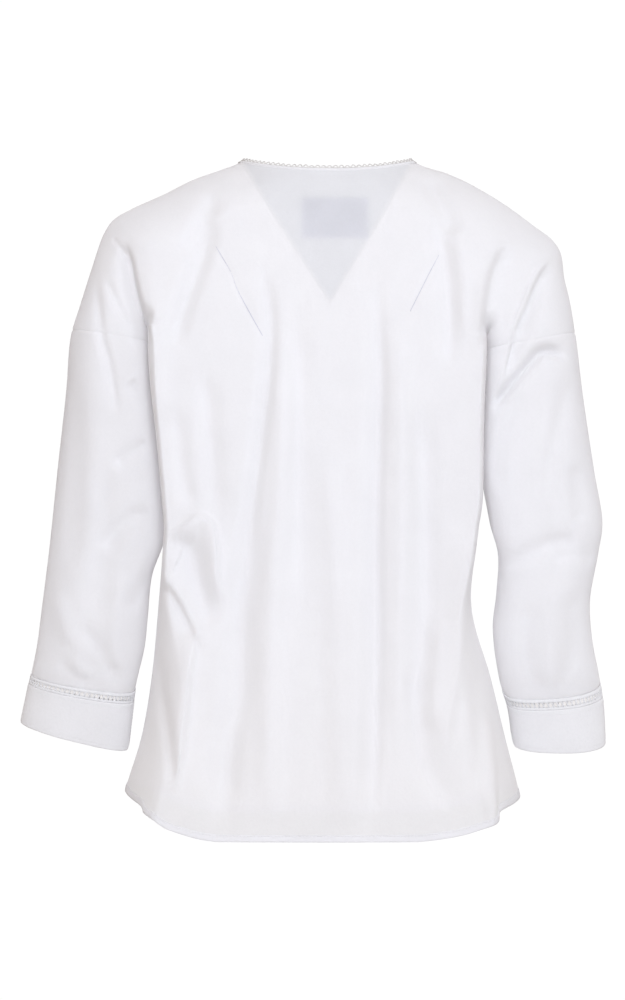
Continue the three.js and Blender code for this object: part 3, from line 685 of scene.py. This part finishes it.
def column_top(face):
    """x and z of the tops of the trunk's columns, along one shoulder, the neckline and the other."""
    k = np.arange(TRUNK_COLUMNS + 1) - SHOULDER_COLUMNS
    half = NECK_COLUMNS / 2
    left = mix(LEFT.neck, LEFT.fold_top, -k / SHOULDER_COLUMNS)
    right = mix(RIGHT.neck, RIGHT.fold_top, (k - NECK_COLUMNS) / SHOULDER_COLUMNS)
    neck_x = np.where(
        k <= half, mix(LEFT.neck, V_POINT[0], k / half), mix(V_POINT[0], -RIGHT.neck, k / half - 1)
    )
    share = np.clip(np.where(k <= half, k / half, 2 - k / half), 0, 1)
    dip = -NECK_DROP * (1 - (1 - share) ** NECK_POWER)
    neck_z = V_POINT[1] * share if face == "front" else dip
    x = np.where(k < 0, left, np.where(k > NECK_COLUMNS, -right, neck_x))
    rest = np.where(k > NECK_COLUMNS, RIGHT.shoulder(right), neck_z)
    z = np.where(k < 0, LEFT.shoulder(left), rest)
    return x, z, (k <= 0) | (k >= NECK_COLUMNS)


def hem_z(face, s):
    rise = {
        way: np.interp(np.abs(s), *zip(*smooth_line(knots, 6))) for way, knots in HEM_RISE.items()
    }
    return mix(HEM[face], HEM_SIDE, np.where(s < 0, rise["left"], rise["right"]))


def trunk_grid(face):
    """The trunk of a panel, as rows of points from the neck and shoulders to the hem."""
    j = np.arange(TRUNK_COLUMNS + 1)
    s = mix(-np.cos(np.pi * j / TRUNK_COLUMNS), 2 * j / TRUNK_COLUMNS - 1, 0.3)
    f = (s + 1) / 2
    top_x, top_z, top_seam = column_top(face)
    fold_f = (LEFT.fold_x(top_z) - top_x) / (LEFT.fold_x(top_z) + RIGHT.fold_x(top_z))
    pit_z = mix(LEFT.pit[1], RIGHT.pit[1], f)
    k = np.arange(1, UPPER_ROWS + 1)[:, None]
    z = mix(top_z - BINDING_DROP[face], pit_z, row_share(k))
    x = mix(LEFT.fold_x(z), -RIGHT.fold_x(z), mix(fold_f, f, row_share(k)))
    bottom = hem_z(face, s)
    low = np.arange(1, LOWER_ROWS - HEM_ROWS + 1)[:, None] / (LOWER_ROWS - HEM_ROWS)
    band = np.arange(1, HEM_ROWS + 1)[:, None] / HEM_ROWS
    low_z = np.concatenate([mix(pit_z, bottom + HEM_BAND, low), bottom + HEM_BAND * (1 - band)])
    low_x = mix(TRUNK("left", low_z), -TRUNK("right", low_z), f)
    grid_x = np.concatenate([top_x[None], x, low_x])
    grid_z = np.concatenate([top_z[None], z, low_z])
    on_seam = np.zeros(grid_x.shape, bool)
    on_seam[0] = top_seam
    on_seam[UPPER_ROWS:, [0, -1]] = True
    return panel_point(face, np.zeros(grid_x.shape), grid_x, grid_z, on_seam)


def cap_grid(face, side, inside):
    """The cap of a shoulder: from its outer edge to the column of points that the trunk shares."""
    i = np.arange(CAP_COLUMNS)
    f = (1 - np.cos(np.pi * i / CAP_COLUMNS)) / 2
    even = i / CAP_COLUMNS
    knee_z = side.seam[0] + SEAM_RISE
    knee_x = side.outer(knee_z)
    tip_z, fold_top_z = side.shoulder(side.tip), side.shoulder(side.fold_top)
    x0 = mix(side.tip, side.fold_top, even)
    z0 = side.shoulder(x0)
    bottom_x, bottom_z = mix(knee_x, side.pit[0], f), mix(knee_z, side.pit[1], f)
    k = np.arange(1, UPPER_ROWS + 1)[:, None]
    z = mix(z0 - BINDING_DROP[face], bottom_z, row_share(k))
    down = (z0 - z) / (z0 - bottom_z)
    outer_bend = side.outer(mix(tip_z, knee_z, down)) - mix(side.tip, knee_x, down)
    fold_line = side.fold("x", mix(fold_top_z, side.pit[1], down))
    fold_bend = fold_line - mix(side.fold_top, side.pit[0], down)
    x = mix(x0, bottom_x, down) + mix(outer_bend, fold_bend, even)
    x[:, 0] = side.outer(z[:, 0])
    grid_x = side.sign * np.concatenate([x0[None], x])
    grid_z = np.concatenate([z0[None], z])
    on_seam = np.zeros(grid_x.shape, bool)
    on_seam[0] = True
    on_seam[:, 0] = True
    cap = panel_point(face, np.ones(grid_x.shape), grid_x, grid_z, on_seam)
    cap = np.concatenate([cap, inside[: UPPER_ROWS + 1, None]], axis=1)
    i = np.arange(CAP_COLUMNS + 1)
    turn = (i if face == "back" else 2 * CAP_COLUMNS - i) / (2 * CAP_COLUMNS)
    seam = arm_point(side, np.zeros(turn.shape), turn)
    seam += [0, (0.5 if face == "back" else -0.5) * SEAM_GAP, 0.5 * SEAM_GAP]
    share = 1 - (1 - np.arange(1, SEAM_ROWS + 1) / SEAM_ROWS) ** 1.6
    rows = mix(cap[-1][None], seam[None], share[:, None, None])
    away = (1 - share)[:, None] * SEAM_RISE
    rows = roll_in(rows, side, turn, away)
    return np.concatenate([cap, rows])


def roll_in(rows, side, turn, away):
    """Dips rings of cloth inwards near a seam, which is away from each of their points."""
    dip = SEAM_ROLL * np.exp(-((away / SEAM_ROLL_WIDTH) ** 2))
    rows = rows.copy()
    rows[..., 0] -= side.sign * dip * np.cos(2 * np.pi * turn)
    rows[..., 1] -= dip * np.sin(2 * np.pi * turn)
    return rows


def panel(face):
    """The points, faces and cloth coordinates of a panel, and its trunk grid."""
    trunk = trunk_grid(face)
    grids = [trunk]
    for side, column in ((LEFT, 0), (RIGHT, -1)):
        cap = cap_grid(face, side, trunk[:, column])
        grids.append(cap if side is LEFT else cap[:, ::-1])
    points, faces, uvs, start = [], [], [], 0
    for grid in grids:
        points.append(grid.reshape(-1, 3))
        uvs.append(grid_uv(grid).reshape(-1, 2))
        faces += grid_faces(grid.shape[0] - 1, grid.shape[1] - 1, start=start, flip=face == "back")
        start += len(points[-1])
    return np.concatenate(points), faces, np.concatenate(uvs), trunk


def weld(obj):
    """Joins points that lie in one place, so that the cloth is shaded smoothly across them."""
    mesh = bmesh.new()
    mesh.from_mesh(obj.data)
    bmesh.ops.remove_doubles(mesh, verts=mesh.verts, dist=WELD_DISTANCE * MM)
    mesh.to_mesh(obj.data)
    mesh.free()


# Sleeves, lace and cuffs. Rings start and end at the inner edge, where a sleeve has its seam.

ring_turns = 0.5 + np.arange(RING_COLUMNS + 1) / RING_COLUMNS


def sleeve_grid(side):
    length = side.seam[0] - side.cuff[0]
    near = np.array([0, 0.5, 1, 1.6, 2.4, 3.6]) / length
    between = np.linspace(6 / length, 1 - 6 / length, SLEEVE_ROWS)
    levels = np.concatenate([near, between, 1 - near[::-1]])
    level, turn = np.meshgrid(np.minimum(levels, 1 - 1e-9), ring_turns, indexing="ij")
    grid = arm_point(side, level, turn)
    grid[..., 2] += SEAM_GAP * (level - 0.5)
    away = np.minimum(level, 1 - level) * length
    return roll_in(grid, side, turn, away)


def ring_rows(side, top, bottom, rows):
    """Rings of points below the sleeve. top and bottom are millimetres below the trim's top."""
    length = side.cuff[1] - side.hem[1]
    level, turn = np.meshgrid(
        1 + np.linspace(top, bottom, rows + 1) / length, ring_turns, indexing="ij"
    )
    return arm_point(side, level, turn)


def cuff_grid(side, columns, rows, inset=0.0):
    """A cuff, open at its slit, with its hem corners rounded. inset shrinks it inside its edges."""
    length = side.cuff[1] - side.hem[1]
    top = 1 + (TRIM_WIDTH + SEAM_GAP + inset) / length
    half_depth = (ARM("back", side.hem[1]) + ARM("front", side.hem[1])) / 2
    v, u = np.meshgrid(np.linspace(0, 1, rows + 1), np.linspace(0, 1, columns + 1), indexing="ij")
    share = mix(u, (1 - np.cos(np.pi * u)) / 2, 0.6)
    depth = (mix(CUFF_SLIT_TOP, side.slit_hem, v) + inset) / half_depth
    from_edge = 1 - (1 - depth ** INNER_SQUARE["cuff"]) ** (1 / INNER_SQUARE["cuff"])
    slit = 0.5 - np.arccos(from_edge - 1) / (2 * np.pi)
    turn = 0.5 + mix(slit, 1 - slit, share)
    hem_line = arm_point(side, np.full(turn[-1].shape, 2.0), turn[-1])
    steps = np.linalg.norm(np.diff(hem_line, axis=0), axis=1)
    along = np.concatenate([[0], np.cumsum(steps)])
    from_slit = np.minimum(along, along[-1] - along)[None]
    corner = side.cuff_corner - inset
    short = np.maximum(corner - from_slit, 0)
    rise = corner - np.sqrt(corner**2 - short**2) + inset
    return arm_point(side, mix(top, 2 - rise / length, v), turn)


# The neckline.


def neck_frame(face, trunk, step=None):
    """Points along a neckline, the way down the cloth from each, and the way out of the cloth."""
    columns = slice(SHOULDER_COLUMNS, SHOULDER_COLUMNS + NECK_COLUMNS + 1)
    edge = trunk[0, columns]
    along = np.gradient(edge, axis=0)
    along /= np.linalg.norm(along, axis=1, keepdims=True)
    down = trunk[1, columns] - edge
    down -= along * np.sum(down * along, axis=1, keepdims=True)
    down /= np.linalg.norm(down, axis=1, keepdims=True)
    out = np.cross(down, along)
    out *= 1 if face == "back" else -1
    if step:
        at = np.concatenate([[0], np.cumsum(np.linalg.norm(np.diff(edge, axis=0), axis=1))])
        count = int(round(at[-1] / step))
        even = np.linspace(0, at[-1], count + 1)
        place = lambda rows: np.stack([np.interp(even, at, rows[:, i]) for i in range(3)], axis=-1)
        edge, down, out = place(edge), place(down), place(out)
    return edge, down, out


def binding(face, trunk):
    """A narrow strip folded over the neckline."""
    edge, down, out = neck_frame(face, trunk)
    sides = 14
    turn = 2 * np.pi * np.arange(sides) / sides
    flat = np.sign(np.cos(turn)) * np.abs(np.cos(turn)) ** 0.6
    thick = np.sign(np.sin(turn)) * np.abs(np.sin(turn)) ** 0.8
    pucker = 1 + 0.16 * crumple(np.arange(len(edge)) / 1.3, np.zeros(len(edge)), 31)
    centre = edge + down * (BINDING_WIDTH / 2 - 0.3)
    points = centre[:, None] + down[:, None] * flat[None, :, None] * BINDING_WIDTH / 2
    points = points + out[:, None] * (BINDING_THICK * pucker[:, None] * thick[None, :])[..., None]
    rows = len(edge)
    faces = []
    for k in range(rows - 1):
        for i in range(sides):
            j = (i + 1) % sides
            faces.append([k * sides + i, (k + 1) * sides + i, (k + 1) * sides + j, k * sides + j])
    faces.append(list(range(sides)))
    faces.append([(rows - 1) * sides + i for i in range(sides)])
    return points.reshape(-1, 3), faces


def picot(face, trunk):
    """A crochet edging: a cord along the neckline with a row of small loops on it."""
    edge, down, out = neck_frame(face, trunk, step=PICOT_PITCH / LOOP_POINTS)
    loops = len(edge) // LOOP_POINTS
    share = np.arange(len(edge)) / LOOP_POINTS
    t = share - np.floor(share)
    uneven = np.random.default_rng(41 if face == "back" else 43).uniform(0.85, 1.1, loops + 2)
    ends = smooth(0.25 + np.minimum(share, share[::-1]) / 3)
    height = PICOT_HEIGHT * ends * uneven[np.floor(share).astype(int)] * np.sin(np.pi * t) ** 0.7
    lean = 0.5 * np.sin(2 * np.pi * t)
    along = np.gradient(edge, axis=0)
    path = edge - down * (0.5 + height)[:, None] + along * lean[:, None]
    cord = edge - down * 0.7
    return join([tube(path, THREAD, 6), tube(cord, THREAD, 6)])


# Lace, stitches and the label.


def lace(side):
    """The beading between a sleeve and its cuff: two flat edges with a zigzag of thread between."""
    parts = []
    for top, bottom in ((SEAM_GAP, LACE_TOP), (TRIM_WIDTH - LACE_BOTTOM, TRIM_WIDTH - SEAM_GAP)):
        rows = ring_rows(side, top, bottom, 4)
        half = TRIM_THICK * np.array([0.6, 1, 1, 1, 0.6])[:, None]
        parts.append(shell(rows, half))
    top, bottom = LACE_TOP - 0.3, TRIM_WIDTH - LACE_BOTTOM + 0.3
    middle = ring_rows(side, (top + bottom) / 2, (top + bottom) / 2 + 1, 1)[0]
    around = np.linalg.norm(np.diff(middle, axis=0), axis=1).sum()
    count = int(round(around / TRIM_PITCH))
    share = np.arange(count * 8 + 1) / 8
    wave = 0.5 - 0.5 * np.cos(2 * np.pi * share)
    wave = smooth(smooth(wave) * 0.5 + wave * 0.5)
    length = side.cuff[1] - side.hem[1]
    for flip in (wave, 1 - wave):
        level = 1 + mix(top, bottom, flip) / length
        parts.append(tube(arm_point(side, level, 0.5 + share / count), 1.25 * THREAD, 5))
    return join(parts)


def lace_lining_painted_shade(side):
    """The seam allowance that shows through the lace's holes, toned greyer than the cloth as painted
    shade.
    """
    rows = ring_rows(side, LACE_TOP - 0.3, TRIM_WIDTH - LACE_BOTTOM + 0.3, 3)
    return shell(rows, LACE_NET / 2, shift=-LACE_SUNK * side.sign)


def cuff_stitch_lines(side):
    inner = cuff_grid(side, 160, 24, inset=CUFF_STITCH)
    edge = np.concatenate([inner[:, 0], inner[-1, 1:], inner[::-1, -1][1:]])
    return edge, inner[0]


def ring_out(points):
    out = points - points.mean(axis=0)
    out[:, 2] = 0
    return out / np.linalg.norm(out, axis=1, keepdims=True)


def label_grid():
    x, z = np.meshgrid(
        np.linspace(LABEL["left"], LABEL["right"], 24),
        np.linspace(LABEL["top"], LABEL["bottom"], 15),
    )
    grid = panel_point("back", np.zeros(x.shape), x, z, np.zeros(x.shape, bool))
    grid[..., 1] -= LABEL["inset"] + 0.6 * np.sin(x / 9) * smooth((LABEL["top"] - z) / 30)
    return grid


def on_back_as_seen(path, lift):
    """Points on the back under a path that is given as the camera sees it."""
    line = smooth_line(path, 16)
    at = np.concatenate([[0], np.cumsum(np.linalg.norm(np.diff(line, axis=0), axis=1))])
    even = np.arange(0, at[-1], DART_STEP)
    target = np.stack([np.interp(even, at, line[:, i]) for i in (0, 1)], axis=-1)
    x, z = target.T
    for _ in range(4):
        point = panel_point("back", np.zeros(x.shape), x, z, np.zeros(x.shape, bool))
        away = (CAMERA_AWAY - point[:, 1]) / CAMERA_AWAY
        x = CAMERA_AT[0] + (target[:, 0] - CAMERA_AT[0]) * away
        z = CAMERA_AT[1] + (target[:, 1] - CAMERA_AT[1]) * away
    point[:, 1] += lift
    return point


def dart(path, thick):
    """The line of a dart: a fine tube, half sunk in the cloth, thickest where thick says. Its dark
    blue-grey is painted shadow of the dart's fold.
    """
    line = on_back_as_seen(path, DART_LIFT)
    share = np.linspace(0, 1, len(line))
    size = DART_SIZE * np.interp(share, np.linspace(0, 1, len(thick)), thick)
    points, faces = tube(line, 1.0, 6)
    centre = np.repeat(line, 6, axis=0)
    return centre + (points - centre) * np.repeat(size, 6)[:, None], faces


# Materials.


class Nodes:
    """A short way to build a material's nodes."""

    def __init__(self, name):
        self.material = bpy.data.materials.new(name)
        self.material.use_nodes = True
        self.tree = self.material.node_tree
        self.tree.nodes.clear()

    def add(self, kind, inputs=(), **settings):
        node = self.tree.nodes.new(kind)
        for key, value in settings.items():
            setattr(node, key, value)
        for key, value in dict(inputs).items():
            if isinstance(value, bpy.types.NodeSocket):
                self.tree.links.new(value, node.inputs[key])
            else:
                node.inputs[key].default_value = value
        return node


WAVE_PERIOD = math.pi / 10  # period of a wave texture at scale 1
SLUB_SCALE, CREASE_SCALE = 420.0, 75.0  # of the noises for uneven threads and for small creases
WEAVE_DEEP, SLUB_DEEP, CREASE_DEEP = 0.12, 0.5, 0.9


def cloth_material(name, light, dark, through, clear, weave=0.5, relief=0.35, mottle=30):
    """Cloth of two close tones. through is the share of light that it spreads to its other side,
    clear the share that passes straight between its threads, and weave its pitch in millimetres."""
    n = Nodes(name)
    place = n.add("ShaderNodeTexCoord")
    cloth, inside = place.outputs["UV"], place.outputs["Object"]
    bands = WAVE_PERIOD / (weave * MM)
    threads = {"Vector": cloth, "Scale": bands, "Distortion": 0.6, "Detail": 1.0}
    warp = n.add("ShaderNodeTexWave", threads, bands_direction="X")
    weft = n.add("ShaderNodeTexWave", threads, bands_direction="Y")
    crossed = {0: warp.outputs["Fac"], 1: weft.outputs["Fac"]}
    woven = n.add("ShaderNodeMath", crossed, operation="MULTIPLY")
    fine = {"Vector": inside, "Scale": SLUB_SCALE, "Detail": 4.0, "Roughness": 0.6}
    slub = n.add("ShaderNodeTexNoise", fine)
    coarse = {"Vector": inside, "Scale": CREASE_SCALE, "Detail": 3.0, "Roughness": 0.55}
    crease = n.add("ShaderNodeTexNoise", coarse)
    patch = n.add("ShaderNodeTexNoise", {"Vector": inside, "Scale": float(mottle), "Detail": 3.0})
    tone = n.add("ShaderNodeMath", {0: slub.outputs["Fac"], 1: patch.outputs["Fac"]}, operation="ADD")
    tone = n.add("ShaderNodeMapRange", {"Value": tone.outputs[0], "From Min": 0.75, "From Max": 1.25})
    tones = {"Factor": tone.outputs[0], "A": dark, "B": light}
    thread = n.add("ShaderNodeMix", tones, data_type="RGBA")
    colour = thread.outputs["Result"]
    weave_relief = {"Height": woven.outputs[0], "Strength": relief * 0.5, "Distance": WEAVE_DEEP * MM}
    normal = n.add("ShaderNodeBump", weave_relief).outputs[0]
    for height, deep in ((slub.outputs["Fac"], SLUB_DEEP), (crease.outputs["Fac"], CREASE_DEEP)):
        bump = {"Height": height, "Strength": relief, "Distance": deep * MM, "Normal": normal}
        normal = n.add("ShaderNodeBump", bump).outputs[0]
    front = n.add("ShaderNodeBsdfDiffuse", {"Color": colour, "Roughness": 0.7, "Normal": normal})
    behind = n.add("ShaderNodeBsdfTranslucent", {"Color": colour, "Normal": normal})
    surface = n.add("ShaderNodeMixShader", {0: through, 1: front.outputs[0], 2: behind.outputs[0]})
    if clear:
        gaps = n.add("ShaderNodeBsdfTransparent", {"Color": (1, 1, 1, 1)})
        surface = n.add("ShaderNodeMixShader", {0: clear, 1: surface.outputs[0], 2: gaps.outputs[0]})
    n.add("ShaderNodeOutputMaterial", {"Surface": surface.outputs[0]})
    return n.material


COTTON_LIGHT, COTTON_DARK = (0.947, 0.947, 0.968, 1), (0.922, 0.922, 0.943, 1)
CUFF_LIGHT, CUFF_DARK = (0.825, 0.822, 0.84, 1), (0.795, 0.792, 0.81, 1)
# Painted shade: the greyer tone of the seam allowance behind the lace stands in for the shade in the
# lace's holes.
SHADE_LIGHT, SHADE_DARK = (0.9, 0.88, 0.87, 1), (0.85, 0.83, 0.82, 1)
PICOT_LIGHT, PICOT_DARK = (0.72, 0.7, 0.69, 1), (0.6, 0.58, 0.57, 1)
# Painted shadow: the dark blue-grey of the dart lines stands in for the shade of the darts' folds.
DART_SHADOW_LIGHT, DART_SHADOW_DARK = (0.56, 0.56, 0.66, 1), (0.48, 0.48, 0.58, 1)
LACE_LIGHT, LACE_DARK = (0.87, 0.87, 0.89, 1), (0.82, 0.82, 0.84, 1)
# Painted shade: the label is real, but its dark blue tone stands in for the shade it shows through the
# back cloth.
LABEL_PAINTED_SHADE_LIGHT, LABEL_PAINTED_SHADE_DARK = (0.24, 0.26, 0.4, 1), (0.16, 0.18, 0.31, 1)

body_cotton = cloth_material("cotton_body", COTTON_LIGHT, COTTON_DARK, through=0.26, clear=0.24)
sleeve_cotton = cloth_material("cotton_sleeve", COTTON_LIGHT, COTTON_DARK, through=0.26, clear=0.22)
double_cotton = cloth_material("cotton_double", CUFF_LIGHT, CUFF_DARK, through=0.12, clear=0)
cuff_cotton = cloth_material("cotton_cuff", CUFF_LIGHT, CUFF_DARK, through=0.06, clear=0)
shade_cotton = cloth_material("cotton_inside_painted_shade", SHADE_LIGHT, SHADE_DARK, through=0.1, clear=0)
dart_shadow_cotton = cloth_material("dart_painted_shadow", DART_SHADOW_LIGHT, DART_SHADOW_DARK, through=0.05, clear=0)
lace_cotton = cloth_material(
    "crochet_cotton", LACE_LIGHT, LACE_DARK, through=0.1, clear=0, weave=0.3, relief=0.5, mottle=200
)
picot_cotton = cloth_material(
    "picot_cotton", PICOT_LIGHT, PICOT_DARK, through=0.1, clear=0, weave=0.3, relief=0.5, mottle=200
)
thread_cotton = cloth_material(
    "sewing_thread", CUFF_LIGHT, CUFF_DARK, through=0.05, clear=0, weave=0.2, relief=0.4, mottle=300
)
label_painted_shade_cotton = cloth_material(
    "label_cloth_painted_shade", LABEL_PAINTED_SHADE_LIGHT, LABEL_PAINTED_SHADE_DARK, through=0.05, clear=0, weave=0.35, relief=0.2, mottle=60
)


# The blouse.


def place_piece(obj, replaced=None):
    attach(obj, "root")
    if replaced:
        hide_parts(replaced)
    return obj


def add_part(name, shape, material, replaced=None, uvs=None):
    """A closed piece from (points, faces)."""
    points, faces = shape
    uvs = flat_uv(points) if uvs is None else uvs
    obj = add_mesh(name, points, faces, uvs, material, closed=True)
    return place_piece(obj, replaced)


trunks = {}
with_panel = {"back": [], "front": []}
for face in ("back", "front"):
    points, faces, uvs, trunks[face] = panel(face)
    obj = add_mesh(f"cloth_{face}", points, faces, uvs, body_cotton)
    weld(obj)
    place_piece(obj, face)
    trunk = trunks[face]
    out_way = 1 if face == "back" else -1

    band_rows = trunk[-HEM_ROWS - 1 :]
    half = HEM_THICK * np.array([0.35] + [1] * (HEM_ROWS - 1) + [0.6])[:, None]
    hem = add_part(f"hem_{face}", shell(band_rows, half), body_cotton)
    line = mix(band_rows[0], band_rows[1], 0.7)
    out = np.tile([0, out_way, 0], (len(line), 1))
    sewn = stitches(line, out, out=HEM_THICK)
    hem_thread = add_part(f"hem_thread_{face}", sewn, thread_cotton)

    bound = binding(face, trunk)
    slot = f"neck_binding_{face}"
    bind = add_part(f"binding_{face}", bound, double_cotton, slot)
    edge, down, outward = neck_frame(face, trunk)
    sewn = stitches(edge + down * (BINDING_WIDTH - 0.9), outward, length=2.0, out=BINDING_THICK - 0.2)
    bind_thread = add_part(f"binding_thread_{face}", sewn, thread_cotton)
    slot = f"neck_picot_{face}"
    loops = add_part(f"picot_{face}", picot(face, trunk), picot_cotton, slot)
    with_panel[face] += [hem, hem_thread, bind, bind_thread, loops]

# The darts' lines are coloured dark as painted shadow of their folds.
for name, (path, thick) in DARTS.items():
    with_panel["back"].append(add_part(name, dart(path, thick), dart_shadow_cotton))

for word, side in (("left", LEFT), ("right", RIGHT)):
    grid = sleeve_grid(side)
    faces = grid_faces(grid.shape[0] - 1, grid.shape[1] - 1, flip=side is LEFT)
    points, uvs = grid.reshape(-1, 3), grid_uv(grid).reshape(-1, 2)
    sleeve = add_mesh(f"cloth_sleeve_{word}", points, faces, uvs, sleeve_cotton)
    place_piece(sleeve, f"sleeve_{word}")
    slot = f"cuff_trim_{word}"
    trim = add_part(f"lace_{word}", lace(side), lace_cotton, slot)
    # The seam allowance behind the lace, greyer as painted shade.
    lining = add_part(f"lace_lining_painted_shade_{word}", lace_lining_painted_shade(side), shade_cotton)

    grid = cuff_grid(side, 170, 40)
    half = np.full(grid.shape[:2], CUFF_THICK / 2)
    half[[0, -1]] *= 0.5
    half[:, [0, -1]] *= 0.5
    uvs = grid_uv(grid).reshape(-1, 2)
    slot = f"cuff_{word}"
    shape = shell(grid, half)
    cuff = add_part(f"cloth_cuff_{word}", shape, cuff_cotton, slot, np.tile(uvs, (2, 1)))
    sewn = []
    for line in cuff_stitch_lines(side):
        sewn.append(stitches(line, ring_out(line), out=CUFF_THICK / 2 + 0.1))
    cuff_thread = add_part(f"cuff_thread_{word}", join(sewn), thread_cotton)

# The label inside the back neck, coloured dark blue as painted shade so that it shows darker through the
# cloth.
grid = label_grid()
label = add_part("neck_label", shell(grid, LABEL_THICK), label_painted_shade_cotton, "label",
                 np.tile(grid_uv(grid).reshape(-1, 2), (2, 1)))


# The studio.

floor_mesh = bpy.data.meshes.new("floor")
disc = bmesh.new()
bmesh.ops.create_circle(disc, cap_ends=True, segments=128, radius=FLOOR_RADIUS)
disc.to_mesh(floor_mesh)
disc.free()
floor = bpy.data.objects.new("floor", floor_mesh)
floor.location.z = FLOOR_Z
bpy.context.scene.collection.objects.link(floor)
f = Nodes("studio_floor")
grain = f.add("ShaderNodeTexNoise", {"Scale": 14.0, "Detail": 3.0})
shade = f.add("ShaderNodeMix", {"Factor": grain.outputs["Fac"], "A": (0.8, 0.8, 0.8, 1),
                                "B": (0.84, 0.84, 0.845, 1)}, data_type="RGBA")
pale = f.add("ShaderNodeBsdfDiffuse", {"Color": shade.outputs["Result"]})
f.add("ShaderNodeOutputMaterial", {"Surface": pale.outputs[0]})
floor_mesh.materials.append(f.material)
floor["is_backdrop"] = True

# The world is not the same for every ray. Past the blouse the camera sees white. Through its cloth
# the camera sees a darker background, whose tone changes with the slope of the ray: this is what
# makes the V neck and the label show. The blouse is lit by a third background, by direction.
world = bpy.data.worlds.new("studio")
bpy.context.scene.world = world
world.use_nodes = True
tree = world.node_tree
tree.nodes.clear()
rays = tree.nodes.new("ShaderNodeLightPath")
way = tree.nodes.new("ShaderNodeTexCoord")
part_of = tree.nodes.new("ShaderNodeSeparateXYZ")
tree.links.new(way.outputs["Generated"], part_of.inputs[0])
lit = {}
for name, (colour, strength) in STUDIO.items():
    lit[name] = tree.nodes.new("ShaderNodeBackground")
    lit[name].inputs["Color"].default_value = colour
    lit[name].inputs["Strength"].default_value = strength
direct = tree.nodes.new("ShaderNodeMath")
direct.operation = "LESS_THAN"
direct.inputs[1].default_value = 0.5
tree.links.new(rays.outputs["Transparent Depth"], direct.inputs[0])


def change(axis, start, end):
    """0 where the way of a ray along an axis is start, and 1 where it is end."""
    node = tree.nodes.new("ShaderNodeMapRange")
    tree.links.new(part_of.outputs[axis], node.inputs["Value"])
    node.inputs["From Min"].default_value = start
    node.inputs["From Max"].default_value = end
    return node.outputs[0]


def mix_world(factor, first, second):
    node = tree.nodes.new("ShaderNodeMixShader")
    for i, socket in enumerate((factor, first, second)):
        tree.links.new(socket, node.inputs[i])
    return node.outputs[0]


ambient = mix_world(change("Y", 0.0, 1.0), lit["side"].outputs[0], lit["near"].outputs[0])
ambient = mix_world(change("X", 0.9, 0.02), lit["side"].outputs[0], ambient)
ambient = mix_world(change("Y", -0.95, -0.35), lit["far"].outputs[0], ambient)
high = change("Z", *THROUGH_CHANGE)
through = mix_world(high, lit["through_low"].outputs[0], lit["through_high"].outputs[0])
in_view = mix_world(direct.outputs[0], through, lit["past"].outputs[0])
mixed = mix_world(rays.outputs["Is Camera Ray"], ambient, in_view)
output = tree.nodes.new("ShaderNodeOutputWorld")
tree.links.new(mixed, output.inputs["Surface"])

for name, place, size, power, colour in LIGHTS:
    data = bpy.data.lights.new(name, "AREA")
    data.shape = "SQUARE"
    data.size = size
    data.energy = power
    data.color = colour
    light = bpy.data.objects.new(name, data)
    light.location = place
    aim = Vector((0, 0, -0.3)) - Vector(place)
    light.rotation_euler = aim.to_track_quat("-Z", "Y").to_euler()
    bpy.context.scene.collection.objects.link(light)

camera_data = bpy.data.cameras.new("photo_camera")
camera_data.sensor_width = SENSOR
camera_data.lens = SENSOR * CAMERA_AWAY / VIEW_HEIGHT
camera_data.clip_end = 20
camera = bpy.data.objects.new("photo_camera", camera_data)
camera.location = (CAMERA_AT[0] * MM, CAMERA_AWAY * MM, CAMERA_AT[1] * MM)
camera.rotation_euler = (math.pi / 2, 0, math.pi)
bpy.context.scene.collection.objects.link(camera)
bpy.context.scene.camera = camera
bpy.context.scene.view_settings.view_transform = "Standard"

visual = [list(corner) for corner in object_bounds()]
